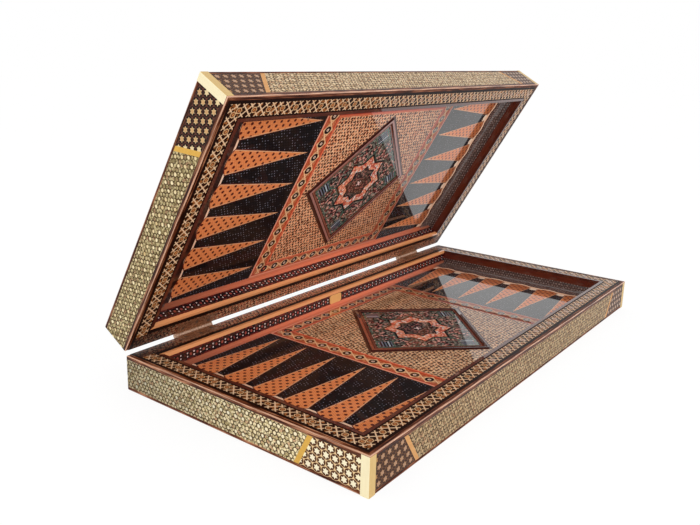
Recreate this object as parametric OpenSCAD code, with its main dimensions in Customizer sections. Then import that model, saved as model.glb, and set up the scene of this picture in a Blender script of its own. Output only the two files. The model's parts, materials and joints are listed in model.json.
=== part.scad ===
// Folding backgammon case with khatam inlay: two shallow trays joined by two brass butt hinges.
// Units are millimetres. The origin is the middle of the base's underside, +X runs along the hinge,
// +Y points from the free edge to the hinge, +Z is up. The lid is drawn swung open by open_angle.

/* [Case] */
// Length of both halves along the hinge
case_l = 500; // [476:1:560]
// Width of each half from its free edge to its hinge side
half_w = 246; // [238:1:280]
// Height of each half from its outer face to its rim
half_h = 30.4; // [28.4:0.2:38]
// Width of the walls as seen on the rim
wall_w = 21.5; // [20.5:0.5:25]
// Depth of the playing field below the rim
field_depth = 16; // [14.5:0.5:18]
// Thickness of the inlaid khatam and veneer
veneer_t = 1; // [0.7:0.1:1.4]
// Angle by which the lid is swung open from closed
open_angle = 59.6; // [0:0.2:180]

/* [Carcass] */
// Thickness of the chequered outer panel
panel_t = 4; // [3:0.5:5]
// Width of the wall left round the boards that are let in from outside
rabbet_edge = 8; // [7.5:0.5:10]
// Light line left between neighbouring dark squares
square_line = 0.6; // [0.4:0.1:1]
// Distance of the chess squares from the panel's edge on the hinge side
square_margin = 1; // [0.5:0.5:8]
// Least distance of the chess squares from the panel's other edges
square_border = 13; // [4:1:20]

/* [Outer walls] */
// Brown wood left above the wall inlay, next to the rim
rim_edge = 3.3; // [2.5:0.1:5]
// Brown wood left below the wall inlay, next to the outer face
foot_edge = 2.7; // [2:0.1:4]
// Width of the bone posts at the free corners
post_w = 7; // [5:0.5:7]
// Distance of a side wall's slanting strip from the corner at the rim
slant_top = 47; // [36:1:60]
// Distance of a side wall's slanting strip from the corner at the outer face
slant_foot = 59; // [48:1:72]
// Distance of a front wall's slanting strips from the corners at the rim
front_slant_top = 39.5; // [32:0.5:52]
// Distance of a front wall's slanting strips from the corners at the outer face
front_slant_foot = 55.5; // [46:0.5:68]
// Width of the slanting strips along the wall
slant_w = 4.5; // [3:0.5:7]

/* [Rim] */
// Brown wood at the outer side of the rim
rim_wood = 3.4; // [2.5:0.1:4.5]
// Width of the outer ebony line on the rim
outer_line_w = 2.8; // [1.5:0.1:3.5]
// Width of the khatam band on the rim
band_w = 11; // [8:0.5:12]
// Width of the ebony line inside the khatam band on the hinge side
hinge_line_w = 5.2; // [3:0.2:6.5]
// Width of the bead along the inner edge of the rim
bead_w = 3.1; // [2:0.1:3.6]
// Height of the bead
bead_h = 3.4; // [2.4:0.1:4.4]
// How far the bead stands above the rim
bead_proud = 0.3; // [0.1:0.05:0.4]

/* [Inner walls] */
// Height of the brown facing under the bead on the three plain inner walls
brown_h = 6.4; // [4:0.2:7.6]
// Height of the orange strip at the foot of the hinge-side inner wall
foot_strip_h = 3.3; // [2:0.1:5]
// Width of the orange strip on the floor along the hinge side
floor_strip_w = 4; // [2.5:0.5:7]
// Length of the blank plaque on the hinge-side inner wall of the base
plaque_l = 19; // [12:0.5:30]
// Height of the plaque
plaque_h = 9; // [6:0.5:9.2]
// How far the plaque stands out of the wall
plaque_t = 0.6; // [0.4:0.1:1.2]
// Radius of the plaque's corners
plaque_r = 2.2; // [0.8:0.2:2.8]

/* [Playing field] */
// Number of points at each end of a half
point_count = 6; // [4:1:7]
// Width of a point where its straight sides end
point_w = 24; // [18:0.2:25]
// How far the round end of a point bulges past its straight sides
point_rise = 3.5; // [2:0.5:6]
// Gap between a point's tip and the centre panel
tip_gap = 4; // [2:0.5:8]
// Width of the stringing line round each point
line_w = 0.8; // [0.5:0.1:1.2]
// Length of the centre panel along the hinge
panel_l = 211; // [195:1:235]
// Width of the khatam border at each end of the field
end_border_w = 17.5; // [13:0.5:20]
// Width of the wavy ebony line inside the end border
wave_line_w = 2; // [1.2:0.1:3]
// How far the wavy line bulges at each point
wave_rise = 2.5; // [1:0.1:3.2]
// Width of each bulge of the wavy line
wave_w = 17; // [13:0.5:22]
// Distance of a point's round end from the wavy line's straight stretches
end_clear = 2; // [1.6:0.2:5]

/* [Centre panel] */
// Width of the eye border at the left and right of the centre field
eye_side_w = 19; // [14:0.5:22]
// Width of the eye border along the hinge side and the free edge
eye_end_w = 15.5; // [12:0.5:18]
// Distance between the eyes
eye_pitch = 14.6; // [12:0.2:18]
// Outside diameter of an eye ring
eye_d = 8; // [5:0.2:8.4]
// Inside diameter of an eye ring
eye_hole_d = 3; // [2:0.2:4.4]
// Clear field between the medallion's tips and the eye border
medallion_gap = 6; // [3:0.5:14]
// Width of each of the frame's two steps
step_w = 3.2; // [2:0.2:4]
// Height of one step of the frame above the one inside it
step_h = 0.5; // [0.3:0.1:0.8]
// Side of a corner tile
tile_w = 12.5; // [8:0.5:13]
// Dark ground between a corner tile and the frame
tile_gap = 3.6; // [2:0.2:6]
// Dark ground between the star's tips and the corner tiles
star_gap = 11.5; // [8:0.5:16]
// Distance from the star's outer tips to the tips of the dark star inside
star_band_w = 13.6; // [10:0.2:18]

/* [Hinges] */
// Length of each hinge along its pin
hinge_l = 42; // [36:1:60]
// Distance from the end of the case to the middle of each hinge
hinge_end = 74; // [60:1:110]
// Number of knuckles of a hinge
knuckle_count = 5; // [3:2:7]
// Outside diameter of the knuckles
knuckle_d = 4.8; // [4.4:0.2:5.6]
// Clearance between two knuckles
knuckle_gap = 0.2; // [0.1:0.05:0.4]
// Clearance between the knuckles and the back wall
wall_clear = 0.3; // [0.25:0.05:0.5]
// Width of a hinge leaf on the rim
leaf_w = 12; // [11:0.5:12.4]
// Thickness of a hinge leaf
leaf_t = 1.1; // [1:0.1:1.4]
// Gap between the two rims when the case is closed
rim_gap = 1; // [0.9:0.1:1.4]
// Gap between the two leaves when the case is closed
leaf_gap = 0.1; // [0.05:0.05:0.2]
// Diameter of the hinge pin
pin_d = 1.8; // [1.4:0.1:2.2]
// Running clearance of the pin in its knuckles, on the radius
pin_play = 0.05; // [0.03:0.01:0.08]
// Diameter of the pin's riveted heads
pin_head_d = 3.4; // [2.8:0.2:4]
// Thickness of the pin's riveted heads
pin_head_t = 0.6; // [0.4:0.1:1]
// Diameter of a screw's head
screw_head_d = 3.6; // [3:0.2:4]
// Diameter of a screw's shank
screw_d = 1.8; // [1.4:0.1:2]
// Length of a screw below the leaf's face
screw_l = 9; // [7:0.5:12]
// Distance of the outer screws from the ends of the leaf
screw_end = 6; // [4:0.5:8]
// Distance of the outer screws from the wall's back face
screw_near = 4.4; // [3.4:0.2:5]
// Distance of the middle screw from the wall's back face
screw_far = 7.6; // [6.4:0.2:8]

/* [Hidden] */
$fn = 48;

// How far a cutter runs past the face that it opens
over = 1;

// Colours
brown = "#6E3C28";
ply = "#B98F5E";
maple = "#D8B585";
walnut = "#4A2A1C";
bone = "#EBDDAE";
fine_khatam = "#A59B78";
star_khatam = "#B49A72";
yellow_wood = "#D7A546";
dark_khatam = "#3A2A30";
ebony = "#1E1214";
orange_wood = "#E07D41";
point_orange = "#CD7341";
night = "#191619";
tan_khatam = "#AA825A";
eye_pink = "#C9785A";
maroon = "#4B2026";
teal = "#2E3D38";
coral = "#D9775C";
brass = "#A98652";
steel = "#8E8A80";

// Overall places
back_y = half_w / 2;
inner_l = case_l - 2 * wall_w;
inner_w = half_w - 2 * wall_w;
facing_l = inner_l + 2 * veneer_t;
floor_z = half_h - field_depth;
board_top = floor_z - veneer_t;
axis_y = back_y + wall_clear + knuckle_d / 2;
axis_z = half_h + rim_gap / 2;

// Chess squares, as large as both directions of the outer panel allow
board_l = case_l - 2 * rabbet_edge;
board_w = half_w - 2 * rabbet_edge;
square_w = min((board_w - square_margin - square_border) / 4, (board_l - 2 * square_border) / 8);

// Rim
band_out = rim_wood + outer_line_w;
band_in = band_out + band_w;
bead_out = wall_w - bead_w;
hinge_band_w = bead_out - hinge_line_w;
recess_low = foot_edge;
recess_high = half_h - rim_edge;

// Inner walls
bead_low = half_h + bead_proud - bead_h;
brown_low = bead_low - brown_h;
foot_strip_high = floor_z + foot_strip_h;
plaque_z = (bead_low + foot_strip_high) / 2;

// Playing field, whose middle lies off centre because of the orange strip on the hinge side
field_y0 = -inner_w / 2;
field_y1 = inner_w / 2 - floor_strip_w;
mid_y = (field_y0 + field_y1) / 2;
point_pitch = (field_y1 - field_y0) / point_count;
point_r = point_w / 2;
arc_steps = 12;
wave_x = inner_l / 2 - end_border_w - wave_rise - wave_line_w;
ground_x = wave_x - end_clear - point_rise;
tip_x = panel_l / 2 + tip_gap;
eye_x = panel_l / 2 - eye_side_w;
eye_y = (field_y1 - field_y0) / 2 - eye_end_w;
medallion_r = min(eye_x, eye_y) - medallion_gap;
frame_in = medallion_r - 2 * step_w * sqrt(2);
tile_x = frame_in - (tile_gap + tile_w / 2) * sqrt(2);
star_r = tile_x - tile_w / sqrt(2) - star_gap;
heart_r = star_r - star_band_w;
row_y = (field_y1 - field_y0 - eye_end_w) / 2;
row_end = eye_x + eye_d / 4;
row_steps = round(2 * row_end / eye_pitch);
column_x = (panel_l - eye_side_w) / 2;
column_end = eye_y + eye_d / 4;
column_steps = round(2 * column_end / eye_pitch);

// Hinges
hinge_x = case_l / 2 - hinge_end;
leaf_top = axis_z - leaf_gap / 2;
leaf_low = leaf_top - leaf_t;
leaf_edge = back_y + wall_clear / 3;
knuckle_l = (hinge_l - (knuckle_count - 1) * knuckle_gap) / knuckle_count;
screw_play = 0.05;
pin_end_play = 0.05;
screw_slot_w = 0.5;
screw_slot_t = 0.4;

// Puts a piece that is drawn in the base's frame into the lid: its mirror image, swung open
module lid_place() {
    translate([0, axis_y, axis_z])
        rotate([-open_angle, 0, 0])
            translate([0, -axis_y, axis_z])
                mirror([0, 0, 1])
                    children();
}

// Frames of the four outer faces, in which X runs along the wall and Y is the height;
// each lays a flat outline in the outermost veneer thickness
module on_front() {
    translate([-case_l / 2, -half_w / 2 + veneer_t, 0])
        rotate([90, 0, 0])
            children();
}

module on_back() {
    mirror([0, 1, 0])
        on_front()
            children();
}

module on_right() {
    translate([case_l / 2 - veneer_t, -half_w / 2, 0])
        rotate([90, 0, 90])
            children();
}

module on_left() {
    mirror([1, 0, 0])
        on_right()
            children();
}

// Frames of the four inner faces, laying outlines in the veneer thickness behind them;
// the facings of the two long walls run on behind the ends of the short ones
module in_back() {
    translate([-facing_l / 2, inner_w / 2 + veneer_t, 0])
        rotate([90, 0, 0])
            children();
}

module in_front() {
    mirror([0, 1, 0])
        in_back()
            children();
}

module in_right() {
    translate([inner_l / 2 + veneer_t, -inner_w / 2, 0])
        mirror([1, 0, 0])
            rotate([90, 0, 90])
                children();
}

module in_left() {
    mirror([1, 0, 0])
        in_right()
            children();
}

// A rectangle from one corner to the other
module span(x0, y0, x1, y1) {
    translate([x0, y0])
        square([x1 - x0, y1 - y0]);
}

// One mitred side of a ring that lies between two distances from the case's outline
module ring_side(side, outer, inner) {
    lx = case_l / 2;
    ly = half_w / 2;
    if (side == "front" || side == "back")
        mirror([0, side == "back" ? 1 : 0])
            polygon([
                [-lx + outer, -ly + outer],
                [lx - outer, -ly + outer],
                [lx - inner, -ly + inner],
                [-lx + inner, -ly + inner]
            ]);
    else
        mirror([side == "left" ? 1 : 0, 0])
            polygon([
                [lx - outer, -ly + outer],
                [lx - outer, ly - outer],
                [lx - inner, ly - inner],
                [lx - inner, -ly + inner]
            ]);
}

// Footprints of the two hinge leaves on the rim
module leaf_footprint() {
    for (x = [-hinge_x, hinge_x])
        span(x - hinge_l / 2, back_y - leaf_w, x + hinge_l / 2, leaf_edge);
}

// Khatam band on one side of the rim; on the hinge side it runs out to the edge of the rim
module band_outline(side) {
    if (side == "back")
        difference() {
            span(-case_l / 2 + band_out, back_y - hinge_band_w, case_l / 2 - band_out, back_y);
            leaf_footprint();
        }
    else if (side == "front")
        ring_side("front", band_out, band_in);
    else
        mirror([side == "left" ? 1 : 0, 0])
            polygon([
                [case_l / 2 - band_out, -half_w / 2 + band_out],
                [case_l / 2 - band_out, back_y - hinge_band_w],
                [case_l / 2 - band_in, back_y - hinge_band_w],
                [case_l / 2 - band_in, -half_w / 2 + band_in]
            ]);
}

// Ebony line outside the khatam band on the three sides away from the hinge
module outer_line_outline(side) {
    if (side == "front")
        ring_side("front", rim_wood, band_out);
    else
        mirror([side == "left" ? 1 : 0, 0])
            polygon([
                [case_l / 2 - rim_wood, -half_w / 2 + rim_wood],
                [case_l / 2 - rim_wood, back_y],
                [case_l / 2 - band_out, back_y],
                [case_l / 2 - band_out, -half_w / 2 + band_out]
            ]);
}

// Ebony line between the khatam band and the bead
module inner_line_outline(side) {
    if (side == "back")
        span(-case_l / 2 + bead_out, back_y - bead_out, case_l / 2 - bead_out, back_y - hinge_band_w);
    else if (side == "front")
        ring_side("front", band_in, bead_out);
    else
        mirror([side == "left" ? 1 : 0, 0])
            polygon([
                [case_l / 2 - band_in, -half_w / 2 + band_in],
                [case_l / 2 - band_in, back_y - hinge_band_w],
                [case_l / 2 - bead_out, back_y - hinge_band_w],
                [case_l / 2 - bead_out, -half_w / 2 + bead_out]
            ]);
}

// Everything inside the rim's brown edge, which is left standing under the hinge leaves
module rim_outline() {
    difference() {
        span(-case_l / 2 + rim_wood, -half_w / 2 + rim_wood, case_l / 2 - rim_wood, back_y + over);
        leaf_footprint();
    }
}

// Star panel between a bone post and a slanting strip, measured from the free corner
module star_outline(foot, top) {
    polygon([
        [post_w, recess_low],
        [foot, recess_low],
        [top, recess_high],
        [post_w, recess_high]
    ]);
}

// Slanting strip, measured from the free corner
module slant_outline(foot, top) {
    polygon([
        [foot, recess_low],
        [foot + slant_w, recess_low],
        [top + slant_w, recess_high],
        [top, recess_high]
    ]);
}

// Fine khatam of the front wall, between its two slanting strips
module front_fine_outline() {
    polygon([
        [front_slant_foot + slant_w, recess_low],
        [case_l - front_slant_foot - slant_w, recess_low],
        [case_l - front_slant_top - slant_w, recess_high],
        [front_slant_top + slant_w, recess_high]
    ]);
}

// Fine khatam of a side wall, from its slanting strip to the back corner
module side_fine_outline() {
    polygon([
        [slant_foot + slant_w, recess_low],
        [half_w, recess_low],
        [half_w, recess_high],
        [slant_top + slant_w, recess_high]
    ]);
}

// Radius of the arc that rises by the given height over the given width
function arc_radius(width, rise) = (width * width / 4 + rise * rise) / (2 * rise);

// One point with its tip at the origin and its round end along +X, grown by a margin;
// each straight side runs on to where it meets the arc
module point_outline(margin) {
    reach = ground_x - tip_x;
    tip = margin > 0 ? -2 * margin : 0;
    slope = (point_r + margin) / (reach - tip);
    end_r = arc_radius(point_w, point_rise) + margin;
    middle = reach + point_rise + margin - end_r;
    square = 1 + slope * slope;
    half = middle + slope * slope * tip;
    rest = middle * middle + slope * slope * tip * tip - end_r * end_r;
    meet = (half + sqrt(half * half - square * rest)) / square;
    turn = atan2(slope * (meet - tip), meet - middle);
    polygon(concat(
        [[tip, 0]],
        [for (k = [0 : arc_steps]) let (a = turn * (2 * k / arc_steps - 1))
            [middle + end_r * cos(a), end_r * sin(a)]]
    ));
}

// The points at the right end of a half
module points_outline(margin) {
    for (k = [0 : point_count - 1])
        translate([tip_x, mid_y + (k - (point_count - 1) / 2) * point_pitch])
            point_outline(margin);
}

// Wavy boundary of the orange end strip, grown by a margin
module wave_outline(margin) {
    wave_r = arc_radius(wave_w, wave_rise);
    intersection() {
        span(ground_x, field_y0, inner_l / 2, field_y1);
        union() {
            span(ground_x, field_y0, wave_x + margin, field_y1);
            for (k = [0 : point_count - 1])
                translate([
                    wave_x + wave_rise - wave_r,
                    mid_y + (k - (point_count - 1) / 2) * point_pitch
                ])
                    circle(r = wave_r + margin, $fn = 96);
        }
    }
}

// Centres of the eyes: rows along the hinge side and the free edge, and the two columns
eye_places = concat(
    [for (k = [0 : row_steps]) for (s = [-1, 1])
        [row_end * (2 * k / row_steps - 1), mid_y + s * row_y]],
    [for (k = [0 : column_steps]) for (s = [-1, 1])
        [s * column_x, mid_y + column_end * (2 * k / column_steps - 1)]]
);

// Eight-pointed star made of two squares
module star_shape(r) {
    side = r * sqrt(2);
    for (a = [0, 45])
        rotate(a)
            square(side, center = true);
}

// Square standing on its corner
module diamond(r) {
    rotate(45)
        square(r * sqrt(2), center = true);
}

// Corner tiles of the medallion
module tiles_outline() {
    for (a = [0 : 90 : 270])
        rotate(a)
            translate([tile_x, 0])
                rotate(45)
                    square(tile_w, center = true);
}

// Carcass: one mitred rail with its rabbet, recesses, mortises and screw holes
module rail(side) {
    color(brown)
        difference() {
            linear_extrude(half_h)
                ring_side(side, 0, wall_w);
            translate([0, 0, -over])
                linear_extrude(board_top + over)
                    square([board_l, board_w], center = true);
            translate([0, 0, half_h - veneer_t])
                linear_extrude(veneer_t + over)
                    rim_outline();
            translate([0, 0, bead_low])
                linear_extrude(bead_h + over)
                    square([case_l - 2 * bead_out, half_w - 2 * bead_out], center = true);
            outer_recess();
            inner_recess();
            post_notches();
            if (side == "back")
                hinge_cuts();
        }
}

// Recess for the inlay on the outer faces of the walls
module outer_recess() {
    translate([0, 0, recess_low])
        linear_extrude(recess_high - recess_low)
            difference() {
                square([case_l + 2 * over, half_w + 2 * over], center = true);
                square([case_l - 2 * veneer_t, half_w - 2 * veneer_t], center = true);
            }
}

// Recess for the facings on the inner faces of the walls, above the core board
module inner_recess() {
    translate([0, 0, board_top])
        linear_extrude(bead_low - board_top + over / 2)
            square([facing_l, inner_w + 2 * veneer_t], center = true);
}

// Notches for the bone posts at the two free corners, under the rim's own wood
module post_notches() {
    for (s = [0, 1])
        mirror([s, 0, 0])
            translate([case_l / 2 - post_w, -half_w / 2 - over, -over])
                cube([post_w + over, post_w + over, half_h - veneer_t + over]);
}

// Mortises and pilot holes for the two hinges
module hinge_cuts() {
    translate([0, 0, leaf_low])
        linear_extrude(leaf_t + over)
            leaf_footprint();
    translate([0, 0, leaf_low - screw_l])
        for (p = screw_places)
            translate([p[0], p[1], 0])
                cylinder(d = screw_d + 2 * screw_play, h = screw_l + over);
}

screw_places = [
    for (x = [-hinge_x, hinge_x])
        for (k = [-1 : 1])
            [x + k * (hinge_l / 2 - screw_end), back_y - (k == 0 ? screw_far : screw_near)]
];

// Core board under the playing field
module floor_board() {
    color(ply)
        translate([0, 0, panel_t])
            linear_extrude(board_top - panel_t)
                square([board_l, board_w], center = true);
}

// Dark squares, in rows counted from the hinge side and columns from the left
module dark_outline() {
    for (row = [0 : 3])
        for (column = [row % 2 : 2 : 7])
            translate([
                (column - 3.5) * square_w,
                board_w / 2 - square_margin - (row + 0.5) * square_w
            ])
                square(square_w - square_line, center = true);
}

// Panel whose face is the light half of the chessboard
module outer_panel() {
    color(maple)
        difference() {
            linear_extrude(panel_t)
                square([board_l, board_w], center = true);
            translate([0, 0, -over])
                linear_extrude(veneer_t + over)
                    dark_outline();
        }
}

module dark_squares() {
    color(walnut)
        linear_extrude(veneer_t)
            dark_outline();
}

module rim_khatam() {
    color(bone)
        translate([0, 0, half_h - veneer_t])
            for (side = ["front", "back", "left", "right"])
                linear_extrude(veneer_t)
                    band_outline(side);
}

// Bead along the inner edge of the rim, mitred at its corners
module rim_bead() {
    for (side = ["front", "back", "left", "right"])
        color(side == "back" ? orange_wood : brown)
            translate([0, 0, bead_low])
                linear_extrude(bead_h)
                    ring_side(side, bead_out, wall_w);
}

// Stringing: lines on the rim, round the points and along the wavy end strips
module ebony_lines() {
    color(ebony) {
        translate([0, 0, half_h - veneer_t])
            linear_extrude(veneer_t) {
                for (side = ["front", "left", "right"])
                    outer_line_outline(side);
                for (side = ["front", "back", "left", "right"])
                    inner_line_outline(side);
            }
        for (s = [0, 1])
            mirror([s, 0, 0])
                translate([0, 0, board_top])
                    linear_extrude(veneer_t) {
                        difference() {
                            points_outline(line_w);
                            points_outline(0);
                        }
                        difference() {
                            wave_outline(wave_line_w);
                            wave_outline(0);
                        }
                    }
    }
}

// Fine khatam facings of the four outer walls
module wall_khatam() {
    color(fine_khatam) {
        on_front()
            linear_extrude(veneer_t)
                front_fine_outline();
        on_right()
            linear_extrude(veneer_t)
                side_fine_outline();
        on_left()
            linear_extrude(veneer_t)
                side_fine_outline();
        on_back()
            linear_extrude(veneer_t)
                span(veneer_t, recess_low, case_l - veneer_t, recess_high);
    }
}

// Puts the first of two flat outlines, both measured from a free corner, at both ends of
// the front and the second on both sides
module at_free_corners() {
    for (s = [0, 1])
        mirror([s, 0, 0]) {
            on_front()
                linear_extrude(veneer_t)
                    children(0);
            on_right()
                linear_extrude(veneer_t)
                    children(1);
        }
}

module star_panels() {
    color(star_khatam)
        at_free_corners() {
            star_outline(front_slant_foot, front_slant_top);
            star_outline(slant_foot, slant_top);
        }
}

module slant_strips() {
    color(yellow_wood)
        at_free_corners() {
            slant_outline(front_slant_foot, front_slant_top);
            slant_outline(slant_foot, slant_top);
        }
}

module corner_posts() {
    color(bone)
        for (s = [0, 1])
            mirror([s, 0, 0])
                translate([case_l / 2 - post_w, -half_w / 2, 0])
                    cube([post_w, post_w, half_h - veneer_t]);
}

// Brown facings of the three plain inner walls
module inner_wood() {
    color(brown) {
        in_front()
            linear_extrude(veneer_t)
                span(0, brown_low, facing_l, bead_low);
        in_right()
            linear_extrude(veneer_t)
                span(0, brown_low, inner_w, bead_low);
        in_left()
            linear_extrude(veneer_t)
                span(0, brown_low, inner_w, bead_low);
    }
}

// Dark khatam on the inner walls and at the ends of the playing field
module inner_khatam() {
    color(dark_khatam) {
        in_front()
            linear_extrude(veneer_t)
                span(0, board_top, facing_l, brown_low);
        in_right()
            linear_extrude(veneer_t)
                span(0, board_top, inner_w, brown_low);
        in_left()
            linear_extrude(veneer_t)
                span(0, board_top, inner_w, brown_low);
        in_back()
            linear_extrude(veneer_t)
                span(0, foot_strip_high, facing_l, bead_low);
        for (s = [0, 1])
            mirror([s, 0, 0])
                translate([0, 0, board_top])
                    linear_extrude(veneer_t)
                        difference() {
                            span(ground_x, field_y0, inner_l / 2, inner_w / 2);
                            wave_outline(wave_line_w);
                            span(ground_x, field_y1, wave_x, inner_w / 2);
                        }
    }
}

// The twelve orange points
module points() {
    color(point_orange)
        for (s = [0, 1])
            mirror([s, 0, 0])
                translate([0, 0, board_top])
                    linear_extrude(veneer_t)
                        points_outline(0);
}

// Dark ground between the points
module point_ground() {
    color(night)
        for (s = [0, 1])
            mirror([s, 0, 0])
                translate([0, 0, board_top])
                    linear_extrude(veneer_t)
                        difference() {
                            span(panel_l / 2, field_y0, ground_x, field_y1);
                            points_outline(line_w);
                        }
}

// Orange wood: the wavy strips behind the points and the strips along the hinge side
module orange_strips() {
    color(orange_wood) {
        for (s = [0, 1])
            mirror([s, 0, 0])
                translate([0, 0, board_top])
                    linear_extrude(veneer_t)
                        difference() {
                            union() {
                                wave_outline(0);
                                span(ground_x, mid_y, wave_x, inner_w / 2);
                            }
                            points_outline(line_w);
                        }
        translate([0, 0, board_top])
            linear_extrude(veneer_t)
                span(-wave_x, field_y1, wave_x, inner_w / 2);
        in_back()
            linear_extrude(veneer_t)
                span(0, board_top, facing_l, foot_strip_high);
    }
}

// Centre field round the medallion
module field() {
    color(tan_khatam)
        translate([0, mid_y, board_top])
            linear_extrude(veneer_t)
                difference() {
                    span(-eye_x, -eye_y, eye_x, eye_y);
                    diamond(medallion_r);
                }
}

// Borders of the centre panel, with a shallow pocket for each eye
module eye_borders() {
    outer_y = (field_y1 - field_y0) / 2;
    color(eye_pink)
        difference() {
            translate([0, mid_y, board_top])
                linear_extrude(veneer_t)
                    for (s = [0, 1]) {
                        mirror([s, 0])
                            span(eye_x, -outer_y, panel_l / 2, outer_y);
                        mirror([0, s])
                            span(-eye_x, eye_y, eye_x, outer_y);
                    }
            eyes(veneer_t / 2 + over);
        }
}

// Rings of all the eyes, let in by half the veneer's thickness
module eyes(height) {
    translate([0, 0, floor_z - veneer_t / 2])
        for (p = eye_places)
            translate([p[0], p[1], 0])
                difference() {
                    cylinder(d = eye_d, h = height);
                    translate([0, 0, -over])
                        cylinder(d = eye_hole_d, h = height + 2 * over);
                }
}

module eye_rings() {
    color(ebony)
        eyes(veneer_t / 2);
}

// Stepped frame of the medallion, as four mitred strips
module medallion_frame() {
    step = step_w * sqrt(2);
    color(maroon)
        translate([0, mid_y, board_top])
            for (a = [0 : 90 : 270])
                rotate(a) {
                    linear_extrude(veneer_t + 2 * step_h)
                        polygon([
                            [medallion_r, 0],
                            [0, medallion_r],
                            [0, medallion_r - step],
                            [medallion_r - step, 0]
                        ]);
                    linear_extrude(veneer_t + step_h)
                        polygon([
                            [medallion_r - step, 0],
                            [0, medallion_r - step],
                            [0, frame_in],
                            [frame_in, 0]
                        ]);
                }
}

// Dark ground of the medallion and the dark star in its middle
module medallion_ground() {
    translate([0, mid_y, board_top]) {
        color(teal)
            linear_extrude(veneer_t)
                difference() {
                    diamond(frame_in);
                    star_shape(star_r);
                    tiles_outline();
                }
        color(maroon)
            linear_extrude(veneer_t)
                star_shape(heart_r);
    }
}

// Coral star band of the medallion and its four corner tiles
module medallion_star() {
    translate([0, mid_y, board_top]) {
        color(coral)
            linear_extrude(veneer_t)
                difference() {
                    star_shape(star_r);
                    star_shape(heart_r);
                }
        color(night)
            linear_extrude(veneer_t)
                tiles_outline();
    }
}

// Blank bone plaque on the hinge-side inner wall of the base
module plaque() {
    inset_x = plaque_l / 2 - plaque_r;
    inset_z = plaque_h / 2 - plaque_r;
    color(bone)
        translate([0, inner_w / 2, plaque_z])
            rotate([90, 0, 0])
                linear_extrude(plaque_t)
                    union() {
                        square([plaque_l, 2 * inset_z], center = true);
                        square([2 * inset_x, plaque_h], center = true);
                        for (x = [-inset_x, inset_x])
                            for (z = [-inset_z, inset_z])
                                translate([x, z])
                                    circle(r = plaque_r);
                    }
}

// Knuckles of one leaf: every second one, counted from the first
module knuckles(first, d, extra) {
    for (k = [first : 2 : knuckle_count - 1])
        translate([-hinge_l / 2 + k * (knuckle_l + knuckle_gap) - extra, axis_y, axis_z])
            rotate([0, 90, 0])
                cylinder(d = d, h = knuckle_l + 2 * extra);
}

// One hinge leaf in the base's frame, with its knuckles, bore and countersunk holes
module leaf(x, first) {
    sink = (screw_head_d - screw_d) / 2;
    color(brass)
        difference() {
            translate([x, 0, 0]) {
                translate([0, 0, leaf_low])
                    linear_extrude(leaf_t) {
                        span(-hinge_l / 2, back_y - leaf_w, hinge_l / 2, leaf_edge);
                        for (k = [first : 2 : knuckle_count - 1])
                            translate([-hinge_l / 2 + k * (knuckle_l + knuckle_gap), back_y])
                                square([knuckle_l, axis_y - back_y]);
                    }
                knuckles(first, knuckle_d, 0);
            }
            translate([x, 0, 0])
                knuckles(first, pin_d + 2 * pin_play, over);
            for (p = screw_places)
                translate([p[0], p[1], 0]) {
                    translate([0, 0, leaf_low - over])
                        cylinder(d = screw_d + 2 * screw_play, h = leaf_t + 2 * over);
                    translate([0, 0, leaf_top - sink])
                        cylinder(
                            d1 = screw_d + 2 * screw_play,
                            d2 = screw_head_d + 2 * screw_play,
                            h = sink
                        );
                }
        }
}

// Hinge pin with riveted heads
module hinge_pin(x) {
    color(brass)
        translate([x - hinge_l / 2, axis_y, axis_z])
            rotate([0, 90, 0]) {
                translate([0, 0, -pin_end_play])
                    cylinder(d = pin_d, h = hinge_l + 2 * pin_end_play);
                translate([0, 0, hinge_l + pin_end_play])
                    pin_head();
                translate([0, 0, -pin_end_play])
                    mirror([0, 0, 1])
                        pin_head();
            }
}

// Domed rivet head standing on its flat side
module pin_head() {
    r = pin_head_d / 2;
    dome_r = (r * r + pin_head_t * pin_head_t) / (2 * pin_head_t);
    intersection() {
        translate([0, 0, pin_head_t - dome_r])
            sphere(r = dome_r);
        cylinder(r = r + over, h = pin_head_t + over);
    }
}

// One countersunk screw with a slot, its head level with the leaf's face
module screw() {
    sink = (screw_head_d - screw_d) / 2;
    difference() {
        rotate_extrude()
            polygon([
                [0, 0],
                [screw_head_d / 2, 0],
                [screw_d / 2, -sink],
                [screw_d / 2, -screw_l + screw_d],
                [0, -screw_l + screw_play]
            ]);
        translate([-screw_head_d, -screw_slot_w / 2, -screw_slot_t])
            cube([2 * screw_head_d, screw_slot_w, screw_slot_t + over]);
    }
}

module hinge_screws() {
    color(steel)
        for (p = screw_places)
            translate([p[0], p[1], leaf_top])
                screw();
}

rail("front");  // base_front_rail
rail("back");  // base_back_rail
rail("left");  // base_left_rail
rail("right");  // base_right_rail
floor_board();  // base_floor_board
outer_panel();  // base_outer_panel
dark_squares();  // base_dark_squares
rim_khatam();  // base_rim_khatam
rim_bead();  // base_rim_bead
ebony_lines();  // base_ebony_lines
wall_khatam();  // base_wall_khatam
star_panels();  // base_star_panels
slant_strips();  // base_slant_strips
corner_posts();  // base_corner_posts
inner_wood();  // base_inner_wood
inner_khatam();  // base_inner_khatam
points();  // base_points
point_ground();  // base_point_ground
orange_strips();  // base_orange_strips
field();  // base_field
eye_borders();  // base_eye_borders
eye_rings();  // base_eye_rings
medallion_frame();  // base_medallion_frame
medallion_ground();  // base_medallion_ground
medallion_star();  // base_medallion_star
plaque();  // base_plaque
lid_place() rail("front");  // lid_front_rail
lid_place() rail("back");  // lid_back_rail
lid_place() rail("left");  // lid_left_rail
lid_place() rail("right");  // lid_right_rail
lid_place() floor_board();  // lid_floor_board
lid_place() outer_panel();  // lid_outer_panel
lid_place() dark_squares();  // lid_dark_squares
lid_place() rim_khatam();  // lid_rim_khatam
lid_place() rim_bead();  // lid_rim_bead
lid_place() ebony_lines();  // lid_ebony_lines
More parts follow.
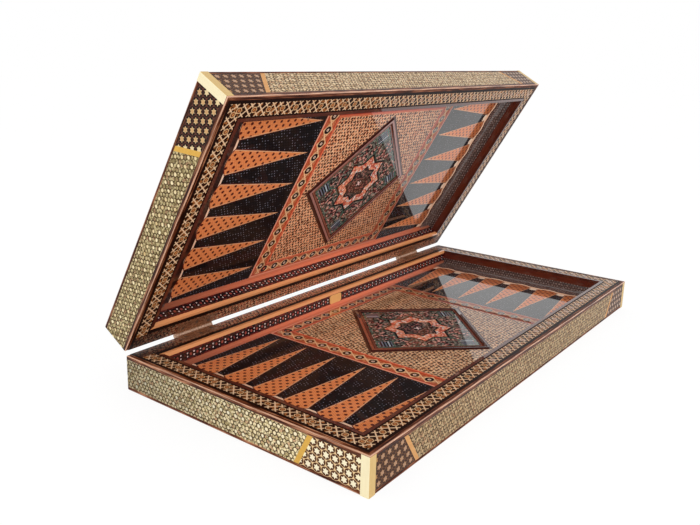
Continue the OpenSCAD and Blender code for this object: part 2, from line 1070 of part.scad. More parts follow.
lid_place() wall_khatam();  // lid_wall_khatam
lid_place() star_panels();  // lid_star_panels
lid_place() slant_strips();  // lid_slant_strips
lid_place() corner_posts();  // lid_corner_posts
lid_place() inner_wood();  // lid_inner_wood
lid_place() inner_khatam();  // lid_inner_khatam
lid_place() points();  // lid_points
lid_place() point_ground();  // lid_point_ground
lid_place() orange_strips();  // lid_orange_strips
lid_place() field();  // lid_field
lid_place() eye_borders();  // lid_eye_borders
lid_place() eye_rings();  // lid_eye_rings
lid_place() medallion_frame();  // lid_medallion_frame
lid_place() medallion_ground();  // lid_medallion_ground
lid_place() medallion_star();  // lid_medallion_star
leaf(-hinge_x, 0);  // left_hinge_base_leaf
lid_place() leaf(-hinge_x, 1);  // left_hinge_lid_leaf
hinge_pin(-hinge_x);  // left_hinge_pin
leaf(hinge_x, 0);  // right_hinge_base_leaf
lid_place() leaf(hinge_x, 1);  // right_hinge_lid_leaf
hinge_pin(hinge_x);  // right_hinge_pin
hinge_screws();  // base_hinge_screws
lid_place() hinge_screws();  // lid_hinge_screws
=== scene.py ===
"""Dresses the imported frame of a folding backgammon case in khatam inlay, wood, bone and lacquer."""

import json
import math
from functools import partialmethod

import bmesh
import bpy
from mathutils import Matrix, Vector


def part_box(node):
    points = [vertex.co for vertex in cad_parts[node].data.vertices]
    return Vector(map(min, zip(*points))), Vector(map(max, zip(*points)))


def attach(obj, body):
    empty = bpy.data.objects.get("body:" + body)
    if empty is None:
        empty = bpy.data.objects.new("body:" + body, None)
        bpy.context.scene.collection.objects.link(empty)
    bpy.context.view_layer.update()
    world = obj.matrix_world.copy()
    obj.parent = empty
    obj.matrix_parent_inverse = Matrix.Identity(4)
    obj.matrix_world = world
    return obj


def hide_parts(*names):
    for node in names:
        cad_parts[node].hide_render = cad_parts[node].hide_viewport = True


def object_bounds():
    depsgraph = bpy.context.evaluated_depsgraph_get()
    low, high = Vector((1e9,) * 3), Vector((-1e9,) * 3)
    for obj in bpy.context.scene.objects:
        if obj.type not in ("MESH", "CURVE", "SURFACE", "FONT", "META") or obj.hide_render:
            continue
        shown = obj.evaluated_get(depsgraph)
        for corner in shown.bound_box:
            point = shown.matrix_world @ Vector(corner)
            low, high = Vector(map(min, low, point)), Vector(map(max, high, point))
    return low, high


bl_info = {
    "name": "Folding Backgammon Case",
    "version": (1, 0, 0),
    "blender": (4, 5, 0),
    "location": "3D View > Sidebar > Case",
    "description": "Khatam inlay, woods, bone, brass and lacquer for a folding backgammon case",
    "category": "Object",
}

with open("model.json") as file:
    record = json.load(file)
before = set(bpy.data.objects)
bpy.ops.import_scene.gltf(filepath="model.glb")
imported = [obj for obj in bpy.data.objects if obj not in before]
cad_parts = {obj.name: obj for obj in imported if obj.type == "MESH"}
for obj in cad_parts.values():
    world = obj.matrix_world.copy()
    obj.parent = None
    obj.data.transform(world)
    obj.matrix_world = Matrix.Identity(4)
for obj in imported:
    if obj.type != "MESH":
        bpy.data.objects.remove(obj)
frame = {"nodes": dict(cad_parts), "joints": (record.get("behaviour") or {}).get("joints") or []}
cad_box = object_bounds()

MM = 0.001
ROOT_2 = math.sqrt(2)
ROOT_3 = math.sqrt(3)
HALVES = ("base", "lid")
LAY = "lay"  # the UV map that holds each face's place on its half, in millimetres
TOUCH = 0.01  # places nearer than this are the same
WELD = 0.002  # corners nearer than this are merged
FLAT_ANGLE = math.radians(0.5)  # faces that meet at less are one face
SHARP_ANGLE = math.radians(32)  # faces that meet at more have a sharp arris
STEEP = 0.7  # a face looks along an axis when its normal has more than this share of it
FACING = 0.9  # the same for the faces of a flat outline
IN_PLANE = 0.05  # how far those faces may lie from the plane
ARRIS_REACH = 1.0  # a rounded arris lies this near the outer faces
ARRIS_TILT = (0.1, 0.98)  # the upright share of its faces' normals


def lowest(node):
    """Lowest corner of a CAD node, in millimetres."""
    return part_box(node)[0] / MM


def highest(node):
    """Highest corner of a CAD node, in millimetres."""
    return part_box(node)[1] / MM


# Places read from the frame, in millimetres of the closed half
CASE_X = highest("base_front_rail").x
BACK_Y = highest("base_back_rail").y
INNER_Y = -lowest("base_eye_borders").y
INNER_X = CASE_X - BACK_Y + INNER_Y
RIM_Z = highest("base_rim_khatam").z
FLOOR_Z = highest("base_field").z
POINT_ROOT_X = highest("base_point_ground").x
POINTS_IN_ROW = 6
POINT_PITCH = (highest("base_point_ground").y + INNER_Y) / POINTS_IN_ROW
MID_Y = (lowest("base_field").y + highest("base_field").y) / 2
PANEL_X = highest("base_eye_borders").x
PANEL_Y = highest("base_eye_borders").y - MID_Y
EYE_X = highest("base_field").x
EYE_Y = highest("base_field").y - MID_Y
FRAME_R = highest("base_medallion_frame").x
GROUND_R = highest("base_medallion_ground").x
TILE_OUT = highest("base_medallion_star").x
AXIS = (lowest("left_hinge_pin") + highest("left_hinge_pin")) / 2
AXIS.x = 0
OPEN = math.radians(-frame["joints"][0]["range_deg"][0])

# Places and sizes inside one CAD node, in the same millimetres
BAND_W = 11.0  # the khatam band of the rim
BAND_MID = CASE_X + lowest("base_rim_khatam").x + BAND_W / 2
HINGE_BAND_Y = 109.8  # where the hinge side of that band starts
FIELD_TOP_Y = MID_Y + PANEL_Y
POINT_TIP_X = 109.5
POINT_HALF_W = 12.0
POINT_SLOPE = POINT_HALF_W / (POINT_ROOT_X - POINT_TIP_X)
NIGHT_END = POINT_ROOT_X - 3.0
WAVE_X = POINT_ROOT_X + 4.5
BULGE_HALF_W = 8.5
KNUCKLE_R = 3.4
TILE_W = 12.5
STAR_R = 34.68
HEART_R = 21.08
WALL_ROW_REACH = 1.4  # half the height of the strip that holds a row of wall dots
MOTIF_ROOT = -0.02  # where a motif starts, just under its ground
DARK_MIDDLE_X = 20.0  # painted shade on the hinge side grows from here towards its ends
DARK_REACH = 230.0
STAIN_X = 186.0  # the points are darker from here to their right ends

# Lattices of the repeated motifs
RING_PITCH = 14.62
SIDE_RING_PITCH = 13.93
SIDE_RING_Y = -94.2  # one of the rings on the sides; the front has one at its middle
SIDE_ROW_START = 0.3  # from the middle line of the front row to where the side rows may start
RING_WIDTH = 0.75
RING_HEART_R = 1.0
RING_CORE_R = 0.4
STAR_ROW_Z = 12.2
STAR_START = 8.6  # from the corner of the case to the first star
FRONT_SHIFT = 1.85  # the rows of the front start nearer the corner by this
STAR_MARGIN = 0.9  # share of its radius that a star's middle keeps from the panel's edge
SMALL_STAR = 0.8  # size of the stars on the lid and on the fronts
DOT_MARGIN = 0.15  # bare wood between a dot and the edge of its point
WALL_DOT_START = 2.08
WALL_DOT_ROWS = (23.75, 20.7)
STAR_SPREAD = 0.04  # share by which the sizes of one motif differ
DOT_SPREAD = 0.12
WALL_DOT_SPREAD = 0.2
EYE_STEPS = 12
EYE_RING_R = 4.0
EYE_PITCH = 14.5
COLUMN_X = (PANEL_X + EYE_X) / 2
ROW_Y = (PANEL_Y + EYE_Y) / 2
ROW_STEP = 2 * (EYE_X + EYE_RING_R / 2) / EYE_STEPS
COLUMN_STEP = 2 * (EYE_Y + EYE_RING_R / 2) / EYE_STEPS

# The photograph's camera: its place, its axes, and its lens in pixels
CAMERA_AT = (-0.59706, -0.36186, 0.27375)
CAMERA_RIGHT = Vector((0.613095, -0.789678, 0.022860))
CAMERA_UP = Vector((0.175427, 0.164299, 0.970686))
CAMERA_AHEAD = Vector((0.770285, 0.591113, -0.239262))
PHOTO_W, PHOTO_H = 700, 525
FOCAL = 745.667
LENS_MIDDLE = (340.53, 239.00)

# The studio, in metres: the lamps' places, their size, what they aim at, and the white floor
KEY_AT = (-1.5, -0.6, 1.1)
FILL_AT = (0.1, -1.6, 0.4)
LAMP_SIZE = 1.2
AIM = Vector((0, 0, 0.1))
FLOOR_REACH = 6.0
FLOOR_GAP = 0.0002
FLOOR_GLOW = 1.04
FLOOR_WHITE = 0.85  # how far the glow hides the floor's own shading

TO_WORLD = {
    "base": Matrix.Scale(MM, 4),
    "lid": Matrix.Scale(MM, 4)
    @ Matrix.Translation(AXIS)
    @ Matrix.Rotation(-OPEN, 4, "X")
    @ Matrix.Scale(-1, 4, (0, 0, 1))
    @ Matrix.Translation(-AXIS),
}


def plane_matrix(origin, u, v):
    """Matrix from a flat drawing, with its face up, to a face of the half."""
    u, v = Vector(u), Vector(v)
    return Matrix.Translation(origin) @ Matrix((u, v, u.cross(v))).transposed().to_4x4()


PLANES = {
    "floor": plane_matrix((0, 0, FLOOR_Z), (1, 0, 0), (0, 1, 0)),
    "rim": plane_matrix((0, 0, RIM_Z), (1, 0, 0), (0, 1, 0)),
    "front": plane_matrix((0, -BACK_Y, 0), (1, 0, 0), (0, 0, 1)),
    "right": plane_matrix((CASE_X, 0, 0), (0, 1, 0), (0, 0, 1)),
    "left": plane_matrix((-CASE_X, 0, 0), (0, -1, 0), (0, 0, 1)),
    "hinge_wall": plane_matrix((0, INNER_Y, 0), (1, 0, 0), (0, 0, 1)),
}

# Cuts through a half, each a place and a normal: the four mitres, front ones first, and others
MITRES = [((s * CASE_X, t * BACK_Y, 0), (1, -s * t, 0)) for t in (-1, 1) for s in (-1, 1)]
MIDDLE_CUT = ((0, 0, 0), (1, 0, 0))
HINGE_BAND_CUT = ((0, HINGE_BAND_Y, 0), (0, 1, 0))
FIELD_TOP_CUT = ((0, FIELD_TOP_Y, 0), (0, 1, 0))


# Sizes and colours that a maker would change


def length(name, description, millimetres):
    """A length that the panel shows in the scene's units."""
    return bpy.props.FloatProperty(
        name=name, description=description, default=millimetres * MM, min=0.0, precision=4,
        subtype="DISTANCE", unit="LENGTH",
    )


def channels(code):
    """Red, green and blue of a web code, from 0 to 1."""
    return [int(code[k : k + 2], 16) / 255 for k in (1, 3, 5)]


def shade(name, description, code):
    """A colour given by its web code."""
    return bpy.props.FloatVectorProperty(
        name=name, description=description, default=channels(code), min=0.0, max=1.0,
        subtype="COLOR_GAMMA",
    )


def share(name, description, value):
    """A number from 0 to 1."""
    return bpy.props.FloatProperty(
        name=name, description=description, default=value, min=0.0, max=1.0, subtype="FACTOR"
    )


def power(name, description, watts):
    """The power of a lamp."""
    return bpy.props.FloatProperty(
        name=name, description=description, default=watts, min=0.0, unit="POWER"
    )


class InlaySizes(bpy.types.PropertyGroup):
    """Pitches and sizes of the repeated motifs"""

    star_pitch: length("Star pitch", "Distance between the stars along a wall", 7.65)
    star_row: length("Star row", "Distance between every second row of stars", 12.05)
    star_size: length("Star size", "Radius of a star to its tips", 2.8)
    field_pitch: length("Field pitch", "Distance between the stars of the centre field", 4.3)
    ground_pitch: length("Ground pitch", "Distance between the specks of the dark ground", 3.2)
    ring_size: length("Ring size", "Outer radius of a bone ring on the rim", 2.5)
    dot_pitch: length("Dot pitch", "Distance between the dots on the points", 8.1)
    dot_size: length("Dot size", "Radius of a dot on the points", 1.4)
    wall_dot_pitch: length("Wall dot pitch", "Distance between the dots of the hinge walls", 7.36)
    wall_dot_size: length("Wall dot size", "Radius of a dot on the hinge walls", 0.7)
    proud: length("Proud", "How far a motif stands out of its ground under the lacquer", 0.04)
    arris: length("Arris", "Rounding of the outer arrises", 0.7)
    seed: bpy.props.IntProperty(name="Seed", description="Seed of the hand-cut spread", default=7)


class CaseColours(bpy.types.PropertyGroup):
    """Colours of woods, bone, inlay and metal"""

    brown: shade("Brown", "Carcass wood", "#94502E")
    inner: shade("Inner", "Glossy facing of the short inner walls", "#73301F")
    ebony: shade("Ebony", "Stringing", "#1E0A06")
    bone: shade("Bone", "Posts and stars", "#FFF3CC")
    olive: shade("Olive", "Fine wall khatam", "#CEBA86")
    yellow: shade("Yellow", "Slanting strips", "#EBBB5A")
    amber: shade("Amber", "Bead along the hinge", "#FFB478")
    orange: shade("Orange", "Strips along the hinge", "#F69068")
    point: shade("Point", "Points", "#E6864E")
    peach: shade("Peach", "Wavy strips behind the points", "#FFE0C4")
    night: shade("Night", "Dark ground between the points", "#080506")
    pink: shade("Pink", "Eye border", "#C25E38")
    red: shade("Red", "Dots on the points", "#5A1408")
    coral: shade("Coral", "Star band of the medallion", "#FF946E")
    teal: shade("Teal", "Contour lines of the medallion", "#3A6454")
    maple: shade("Maple", "Light chess squares", "#D8B585")
    walnut: shade("Walnut", "Dark chess squares", "#553423")
    brass: shade("Brass", "Hinge leaves", "#D09A74")
    steel: shade("Steel", "Screws", "#8E7866")


class LacquerSettings(bpy.types.PropertyGroup):
    """Lacquer of the playing side and of the walls"""

    lacquer: share("Lacquer", "Weight of the gloss lacquer on the playing side", 1.0)
    wall_lacquer: share("Wall lacquer", "Weight of the lacquer on the rim and the walls", 0.12)
    lacquer_blur: share("Lacquer blur", "Roughness of the gloss lacquer", 0.02)


class StageSettings(bpy.types.PropertyGroup):
    """Light and floor"""

    sky: share("Sky", "Strength of the soft light from all round", 0.8)
    key: power("Key", "Power of the lamp at the left", 6.0)
    fill: power("Fill", "Power of the lamp in front", 7.0)
    floor: shade("Floor", "Colour of the floor", "#F4F3F1")


class CaseSettings(bpy.types.PropertyGroup):
    """All settings of the case"""

    sizes: bpy.props.PointerProperty(type=InlaySizes)
    colours: bpy.props.PointerProperty(type=CaseColours)
    finish: bpy.props.PointerProperty(type=LacquerSettings)
    stage: bpy.props.PointerProperty(type=StageSettings)


def settings():
    """The case's settings in this scene."""
    return bpy.context.scene.backgammon_case


def size(name):
    """A length from the settings, in millimetres."""
    return getattr(settings().sizes, name) / MM


def linear(colour):
    """Scene-linear RGBA of a colour given as a setting's name or a web code."""
    parts = channels(colour) if colour[0] == "#" else getattr(settings().colours, colour)
    return (*[c / 12.92 if c <= 0.04045 else ((c + 0.055) / 1.055) ** 2.4 for c in parts], 1.0)


# Node sums


def feed(socket, value):
    """Links a socket to a term or another socket, or sets it to a colour or a plain value."""
    if isinstance(value, Term):
        value = value.socket
    if isinstance(value, bpy.types.NodeSocket):
        socket.id_data.links.new(value, socket)
    else:
        socket.default_value = linear(value) if isinstance(value, str) else value


def add(tree, kind, values=None, **properties):
    """Adds a node, sets its properties, and feeds its inputs by their places or names."""
    node = tree.nodes.new(kind)
    for name, value in properties.items():
        setattr(node, name, value)
    for place, value in (values or {}).items():
        feed(node.inputs[place], value)
    return node


class Term:
    """One number in a node tree. Arithmetic on terms adds Math nodes."""

    def __init__(self, socket):
        self.socket = socket

    def math(self, operation, *others, clamp=False):
        values = dict(enumerate((self, *others)))
        tree = self.socket.id_data
        node = add(tree, "ShaderNodeMath", values, operation=operation, use_clamp=clamp)
        return Term(node.outputs[0])

    __add__ = partialmethod(math, "ADD")
    __sub__ = partialmethod(math, "SUBTRACT")
    __mul__ = partialmethod(math, "MULTIPLY")
    __truediv__ = partialmethod(math, "DIVIDE")
    __abs__ = partialmethod(math, "ABSOLUTE")
    least = partialmethod(math, "MINIMUM")
    most = partialmethod(math, "MAXIMUM")

    def __rsub__(self, other):
        return self * -1.0 + other

    def wrap(self, period):
        """The distance from the nearest multiple of a period, with its sign."""
        return self.math("WRAP", period / 2, -period / 2)

    def beyond(self, other):
        """The distance from the origin of a point at this term and the other."""
        return (self * self + other * other).math("SQRT")

    def ramp(self, slope, start=0.0):
        """The term times a slope and plus a start, held between 0 and 1."""
        return self.math("MULTIPLY_ADD", slope, start, clamp=True)

    def under(self, edge, soft=0.12):
        """1 where the term is under an edge, with a soft step."""
        return self.ramp(-1 / soft, edge / soft + 0.5)

    def over(self, edge, soft=0.12):
        """1 where the term is over an edge, with a soft step."""
        return self.ramp(1 / soft, 0.5 - edge / soft)

    def between(self, low, high, soft=0.12):
        """1 where the term lies between two edges."""
        return self.over(low, soft) * self.under(high, soft)


def choose(mask, first, second):
    """The first term where the mask is 1, and the second where it is 0."""
    return second + (first - second) * mask


def lattice(u, v, pitch, row=None):
    """Place from the nearest point of a staggered lattice, triangular if no row is given."""
    row = row or pitch * ROOT_3
    ax, ay = u.wrap(pitch), v.wrap(row)
    bx, by = (u + pitch / 2).wrap(pitch), (v + row / 2).wrap(row)
    near = (ax * ax + ay * ay).math("LESS_THAN", bx * bx + by * by)
    return choose(near, ax, bx), choose(near, ay, by)


def hexagram(x, y):
    """Distance that reaches half the tip radius on a six-pointed star's outline."""
    slope = abs(x) * (ROOT_3 / 2)
    half = y * 0.5
    return (y * -1.0).most(slope + half).least(y.most(slope - half))


def hexagon(x, y):
    """Distance that reaches half the pitch on the outline of a lattice cell."""
    return abs(x).most(abs(x) * 0.5 + abs(y) * (ROOT_3 / 2))


class Finish:
    """A material in the making, with the place on its half as two terms in millimetres."""

    def __init__(self, name, roughness, coat):
        self.material = bpy.data.materials.new(name)
        self.material.use_nodes = True
        self.tree = self.material.node_tree
        self.inputs = self.tree.nodes["Principled BSDF"].inputs
        lacquer = settings().finish
        feed(self.inputs["Roughness"], roughness)
        feed(self.inputs["Specular IOR Level"], 0.06)
        feed(self.inputs["Coat Weight"], getattr(lacquer, coat) if isinstance(coat, str) else coat)
        feed(self.inputs["Coat Roughness"], lacquer.lacquer_blur)
        place = add(self.tree, "ShaderNodeUVMap", uv_map=LAY)
        split = add(self.tree, "ShaderNodeSeparateXYZ", {0: place.outputs[0]})
        self.u, self.v = Term(split.outputs[0]), Term(split.outputs[1])

    def mix(self, mask, below, above):
        """The colour above where the mask is 1, and the colour below where it is 0."""
        values = {0: mask, 6: below, 7: above}
        return add(self.tree, "ShaderNodeMix", values, data_type="RGBA").outputs[2]

    def stack(self, colour, *layers):
        """A colour with others laid over it in turn, each where its mask is 1."""
        for mask, above in layers:
            colour = self.mix(mask, colour, above)
        return colour

    def point(self, x, y):
        """A vector from two terms."""
        return add(self.tree, "ShaderNodeCombineXYZ", {0: x, 1: y}).outputs[0]

    def noise(self, x, y, detail=2.0):
        """Soft noise about 0.5 at a place given by two terms."""
        values = {"Scale": 1.0, "Detail": detail, "Vector": self.point(x, y)}
        return Term(add(self.tree, "ShaderNodeTexNoise", values).outputs[0])

    def cloud(self, along, across, detail=2.0):
        """Soft noise about 0.5, with blots of the given length and width in millimetres."""
        return self.noise(self.u / along, self.v / across, detail)

    def shaken(self, reach, grain):
        """The face's place shifted at random, so that the rows laid on it come out uneven."""
        shifts = [self.noise(self.u / grain + k, self.v / grain) - 0.5 for k in (0.0, 50.0)]
        return self.u + shifts[0] * reach, self.v + shifts[1] * reach

    def chips(self, pitch):
        """Two random numbers for each chip of an irregular mosaic, and the distance to its middle."""
        values = {"Scale": 1.0, "Vector": self.point(self.u / pitch, self.v / pitch)}
        cells = add(self.tree, "ShaderNodeTexVoronoi", values, voronoi_dimensions="2D").outputs
        split = add(self.tree, "ShaderNodeSeparateColor", {0: cells["Color"]}).outputs
        return Term(split[0]), Term(split[1]), Term(cells["Distance"])

    def off_point(self):
        """The distance from the middle line of the nearest point, with its sign."""
        return (self.v - MID_Y - POINT_PITCH / 2).wrap(POINT_PITCH)

    def darkened_ends(self, colour, most):
        """The colour with painted shade towards the ends of the hinge side, most at the left."""
        off = (self.u - DARK_MIDDLE_X) / DARK_REACH
        return self.mix((off * off).ramp(most), colour, "#1A0A06")

    def thin_lacquer(self, weight):
        """Thins the gloss lacquer to a weight, which may be a term."""
        feed(self.inputs["Coat Weight"], weight * settings().finish.lacquer)

    def worn_lacquer(self, least, full=1.0):
        """Thins the gloss lacquer to a least weight towards the left end, where it is worn."""
        self.thin_lacquer(self.u.math("MULTIPLY_ADD", 0.01, 0.6).most(least).least(full))

    def bump(self, height, depth):
        """Gives the surface a bump of the given depth in millimetres."""
        values = {"Strength": 1.0, "Distance": depth * MM, "Height": height}
        feed(self.inputs["Normal"], add(self.tree, "ShaderNodeBump", values).outputs[0])


# Finishes

FINISHES = {}
MADE = {}


def finish(roughness, coat, **rows):
    """Enters a maker in the table of finishes, once for each row: a name and the maker's colours.

    The coat is a weight, or the name of the setting that holds it."""

    def enter(maker):
        for name, values in rows.items():
            FINISHES[name] = (maker, roughness, coat, values)
        return maker

    return enter


def finished(name):
    """The material of a finish, made once."""
    if name not in MADE:
        maker, roughness, coat, values = FINISHES[name]
        f = Finish(name, roughness, coat)
        feed(f.inputs["Base Color"], maker(f, *values))
        MADE[name] = f.material
    return MADE[name]


@finish(
    0.42, "lacquer",
    inner_wall_wood=("inner", "#3F1712"),
    bead_wood=("#5E2A1C", "#34140E"),
    orange_bead_wood=("amber", "#F49058", 0.5, 60.0),
    # the last number is painted shade towards the ends of the hinge side
    orange_wood=("orange", "#D4643E", 0.5, 60.0, 0.6),
    wavy_line_wood=("#3A1A12", "#200C08", 0.5, 40.0),
    point_line_wood=("#6A1A12", "#48100C", 0.5, 40.0),
)
@finish(
    0.42, "wall_lacquer",
    yellow_wood=("yellow", "#C08A34", 0.5, 30.0),
    # a darker copy for the front faces, as painted shade
    front_yellow_wood=("#DCA468", "#B87C44", 0.5, 30.0),
    maple_wood=("maple", "#B98F5E", 0.5),
    walnut_wood=("walnut", "#2E1A12", 0.6),
)
@finish(0.42, 0.03, ebony_stringing=("ebony", "#0C0302", 0.5, 40.0))
@finish(0.42, 0.0, core_wood=("#B98F5E", "#94683C", 0.6))
def wood(f, colour, dark, streak=0.55, stretch=90.0, ends=0.0):
    """Lengthwise grain: broad streaks, fine lines and short pores, and painted shade towards the ends
    when given.
    """
    broad = f.cloud(2 * stretch, 3.2).math("MULTIPLY_ADD", 1.6, -0.3)
    fine = f.cloud(stretch, 0.55, 3.0)
    pores = f.cloud(5.0, 0.22).over(0.62, 0.1)
    tone = broad * 0.5 + fine.math("MULTIPLY_ADD", 2.2, -0.6) * 0.5
    f.bump(fine * -1.0, 0.03)
    colour = f.stack(colour, (tone.ramp(streak), dark), (pores * 0.35, dark))
    return f.darkened_ends(colour, ends) if ends else colour


@finish(
    0.42, 0.06,
    carcass_wood=("brown", "#DA9E78", "#2C1007"),
    lid_carcass_wood=("#74381E", "#B27A58", "#1C0803"),
    # a darker copy of the carcass wood for the front rail, as painted shade
    front_carcass_wood=("#7C4028", "#9E6646", "#2A1008"),
)
def streaked_wood(f, brown, light, dark):
    """Rails with light and dark streaks along them."""
    streak = f.cloud(24.0, 1.5, 3.0)
    fine = f.cloud(60.0, 0.55, 3.0)
    f.bump(fine * -1.0, 0.03)
    return f.stack(
        dark,
        (streak.ramp(4.0, -1.5), brown),
        (streak.over(0.58, 0.1) * 0.75, light),
        (fine.over(0.55, 0.1) * 0.4, dark),
    )


@finish(0.3, 1.0, worn_arris_wood=())
def worn_arris(f):
    """Rounded arrises of the rails, glossy, with a pale painted highlight broken by darker streaks.
    """
    return f.mix(f.cloud(40.0, 3.0, 3.0).over(0.45, 0.15), "#6A3420", "#DCA888")


@finish(0.4, "lacquer", peach_wood=())
def wavy_strip(f):
    """Wavy strips behind the points, with their outer half dark at the left end."""
    off = f.off_point() / BULGE_HALF_W
    bulge = (off * off).math("MULTIPLY_ADD", -2.5, 2.5).most(0.0)
    reach = f.u * -1.0 - POINT_ROOT_X - bulge
    grain = f.cloud(1.5, 30.0, 3.0).ramp(2.0, -0.5)
    return f.stack("peach", (grain, "#FFBE96"), (reach.over(2.0), "#2E120C"))


@finish(
    0.35, "lacquer",
    base_frame_wood=("#3E1C16", "#5E342C", "#6A3226", "#7E4636"),
    lid_frame_wood=("#8A5048", "#C08C82", "#7A3E30", "#9A5E4A"),
)
def stepped_frame(f, outer, outer_light, inner, inner_light):
    """Frame of the medallion: an outer and an inner step between dark lines."""
    inwards = (FRAME_R - (abs(f.u) + abs(f.v))) / ROOT_2
    grain = f.noise((f.u + f.v) / 4.0, (f.u - f.v) / 4.0)
    return f.stack(
        f.mix(grain, outer, outer_light),
        (inwards.over(3.6), f.mix(grain, inner, inner_light)),
        (inwards.under(0.7), "#45160F"),
        (inwards.between(3.0, 4.2), "#45160F"),
        (inwards.over(5.9), "#2A100C"),
    )


@finish(
    0.35, "wall_lacquer",
    bone=("bone", "#EFDCA8"),
    # a darker, yellower copy of the bone for the front faces, as painted shade
    front_bone=("#D8B87C", "#C6A260"),
    plaque_bone=("#FFC27A", "#E8A45C"),
)
def streaked_bone(f, colour, dark):
    """Bone with faint streaks."""
    streak = f.cloud(1.2, 14.0, 3.0).ramp(1.8, -0.5)
    f.bump(streak, 0.02)
    return f.mix(streak * 0.5, colour, dark)


@finish(
    0.35, "wall_lacquer",
    base_star_khatam=("#5A3014", "#2E1206", "bone", "#F2CE9A"),
    lid_star_khatam=("#240A04", "#140301", "#E8CF9E", "#5E3628"),
    # a darker copy for the front panels, as painted shade
    front_star_khatam=("#40200C", "#260E04", "#A87C4C", "#643E22"),
)
def star_khatam(f, ground, net, star, gap):
    """Corner panels: light stars in a dark net, with a small triangle where three cells meet."""
    pitch, row = size("star_pitch"), size("star_row")
    x, y = lattice(f.u - STAR_START, f.v - STAR_ROW_Z, pitch, row)
    y = y * (pitch * ROOT_3 / row)
    return f.stack(
        ground,
        (hexagon(x, y).over(pitch / 2 - 0.5), net),
        (x.beyond(y).over(pitch * 0.48) * f.cloud(5.0, 5.0).over(0.2, 0.2), gap),
        (hexagram(x, y).under(size("star_size") / 2), star),
    )


@finish(
    0.4, "wall_lacquer",
    base_side_khatam=("olive", "#FFEDBE", "#DEB48C", "#FFF9DC", "#FFE8B4", 0.75, 0.5),
    lid_side_khatam=("#9C8A5E", "#CEBC8C", "#AC8866", "#FFF0C4", "#D8BC84", 0.8),
    # front copies: the base's is darker as painted shade, the lid's lighter as painted light
    base_front_khatam=("#9A7C58", "#C0A47C", "#A87C5A", "#D2B488", "#B49268", 0.35),
    lid_front_khatam=("#B89870", "#E2C6A0", "#C89A74", "#F0D6AC", "#D0AE84", 0.35),
)
def fine_khatam(f, olive, pale, rosy, dot, dot_dark, halo, fade=0.0):
    """Outer walls: bone dots in a close mosaic of chips, darker by the fade at the far end."""
    pitch, row = size("star_pitch"), size("star_row")
    place = f.u - STAR_START, f.v - STAR_ROW_Z
    bx, by = lattice(*place, pitch, row)
    x, y = lattice(*place, pitch / 2, row / 2)
    net = hexagon(x, y * (pitch * ROOT_3 / row)).over(pitch / 4 - 0.45, 0.3)
    tone = f.cloud(12.0, 8.0, 3.0).ramp(2.4, -0.7)
    pick, other, near = f.chips(1.7)
    spot = bx.beyond(by) + pick * 0.5
    colour = f.stack(
        olive,
        (pick.over(0.35, 0.05), pale),
        (pick.over(0.88, 0.05), rosy),
        (near.over(0.5, 0.2) * 0.6, "#543E1C"),
        (net * other.under(0.72, 0.1), "#3E2A10"),
        (spot.between(1.6, 2.3, 0.3) * halo, "#5E4622"),
        (spot.under(1.6), f.mix(tone, dot, dot_dark)),
    )
    return f.mix(f.u.ramp(fade / 160.0, fade * -0.5), colour, "#32230C") if fade else colour


@finish(0.35, "wall_lacquer", rim_ring_khatam=())
def ring_khatam(f):
    """Rim band: bone rings on its middle line, with crossed light lines round and between them."""
    x, y = abs(f.u.wrap(RING_PITCH)), abs(f.v)
    reach = hexagon(y, x)
    line = abs(x + y - RING_PITCH / 2).least(abs(x - y))
    ring = size("ring_size")
    tone = f.cloud(9.0, 9.0)
    light = f.mix(tone, "#EECCA6", "#C89C76")
    return f.stack(
        f.mix(tone, "#160401", "#2C0C03"),
        (f.chips(2.4)[0].over(0.7), "#94582C"),
        (line.under(0.75), light),
        (reach.under(ring + 0.6), "#1C0602"),
        (reach.under(ring), light),
        (reach.under(ring - 0.8), "#4E1A08"),
        (reach.under(1.0), "#F0A862"),
        (reach.under(0.4), "#4A1A0E"),
    )


@finish(0.4, "wall_lacquer", rim_hinge_khatam=())
def hinge_khatam(f):
    """Hinge-side rim band: reddish ground with small rose and gold specks."""
    star = hexagram(*lattice(*f.shaken(2.5, 5.0), 4.2))
    pick, other, near = f.chips(2.1)
    colour = f.stack(
        "#240604",
        (near.under(0.5) * pick.over(0.3), "#DC7650"),
        (star.under(0.9), f.mix(pick.over(0.5), "#E0A078", "#FFD0A0")),
        (star.under(0.5) * other.over(0.5), "#3A0E08"),
    )
    # painted shade towards both ends of the hinge side
    return f.darkened_ends(colour, 0.65)


@finish(0.4, "lacquer", hinge_wall_khatam=())
def wall_dot_khatam(f):
    """Hinge-side inner wall: two rows of small light dots and rose chips on a dark ground."""
    pitch = size("wall_dot_pitch")
    x = (f.u - WALL_DOT_START).wrap(pitch)
    up = f.v - (WALL_DOT_ROWS[0] + WALL_DOT_ROWS[1]) / 2
    rise = (WALL_DOT_ROWS[0] - WALL_DOT_ROWS[1]) / 2
    pick, other, _ = f.chips(2.2)
    colour = f.stack(
        f.mix(pick, "#100303", "#3A0E0C"),
        (abs(up).over(rise + 1.6) * other.over(0.4), "#7A221C"),
        (
            (pitch / 2 - abs(x)).beyond(up).under(1.3) * other.over(0.3),
            f.mix(pick, "#A83C3C", "#C8604C"),
        ),
        (x.beyond(abs(up) - rise).under(size("wall_dot_size")), "#F0CCC0"),
    )
    # painted shade towards both ends of the hinge side
    return f.darkened_ends(colour, 0.4)


@finish(0.4, "lacquer", slate_khatam=())
def slate(f):
    """Short inner walls and the ends of the field: dark ground with blue-grey specks."""
    x, y = lattice(*f.shaken(2.0, 6.0), 3.4)
    pick, other, _ = f.chips(3.3)
    return f.stack(
        "#4C3A36",
        (hexagram(x, y).under(0.75), f.mix(pick.over(0.5), "#6C5650", "#8E766E")),
        (x.beyond(y).under(0.42) * other.over(0.5), "#BCACA6"),
    )


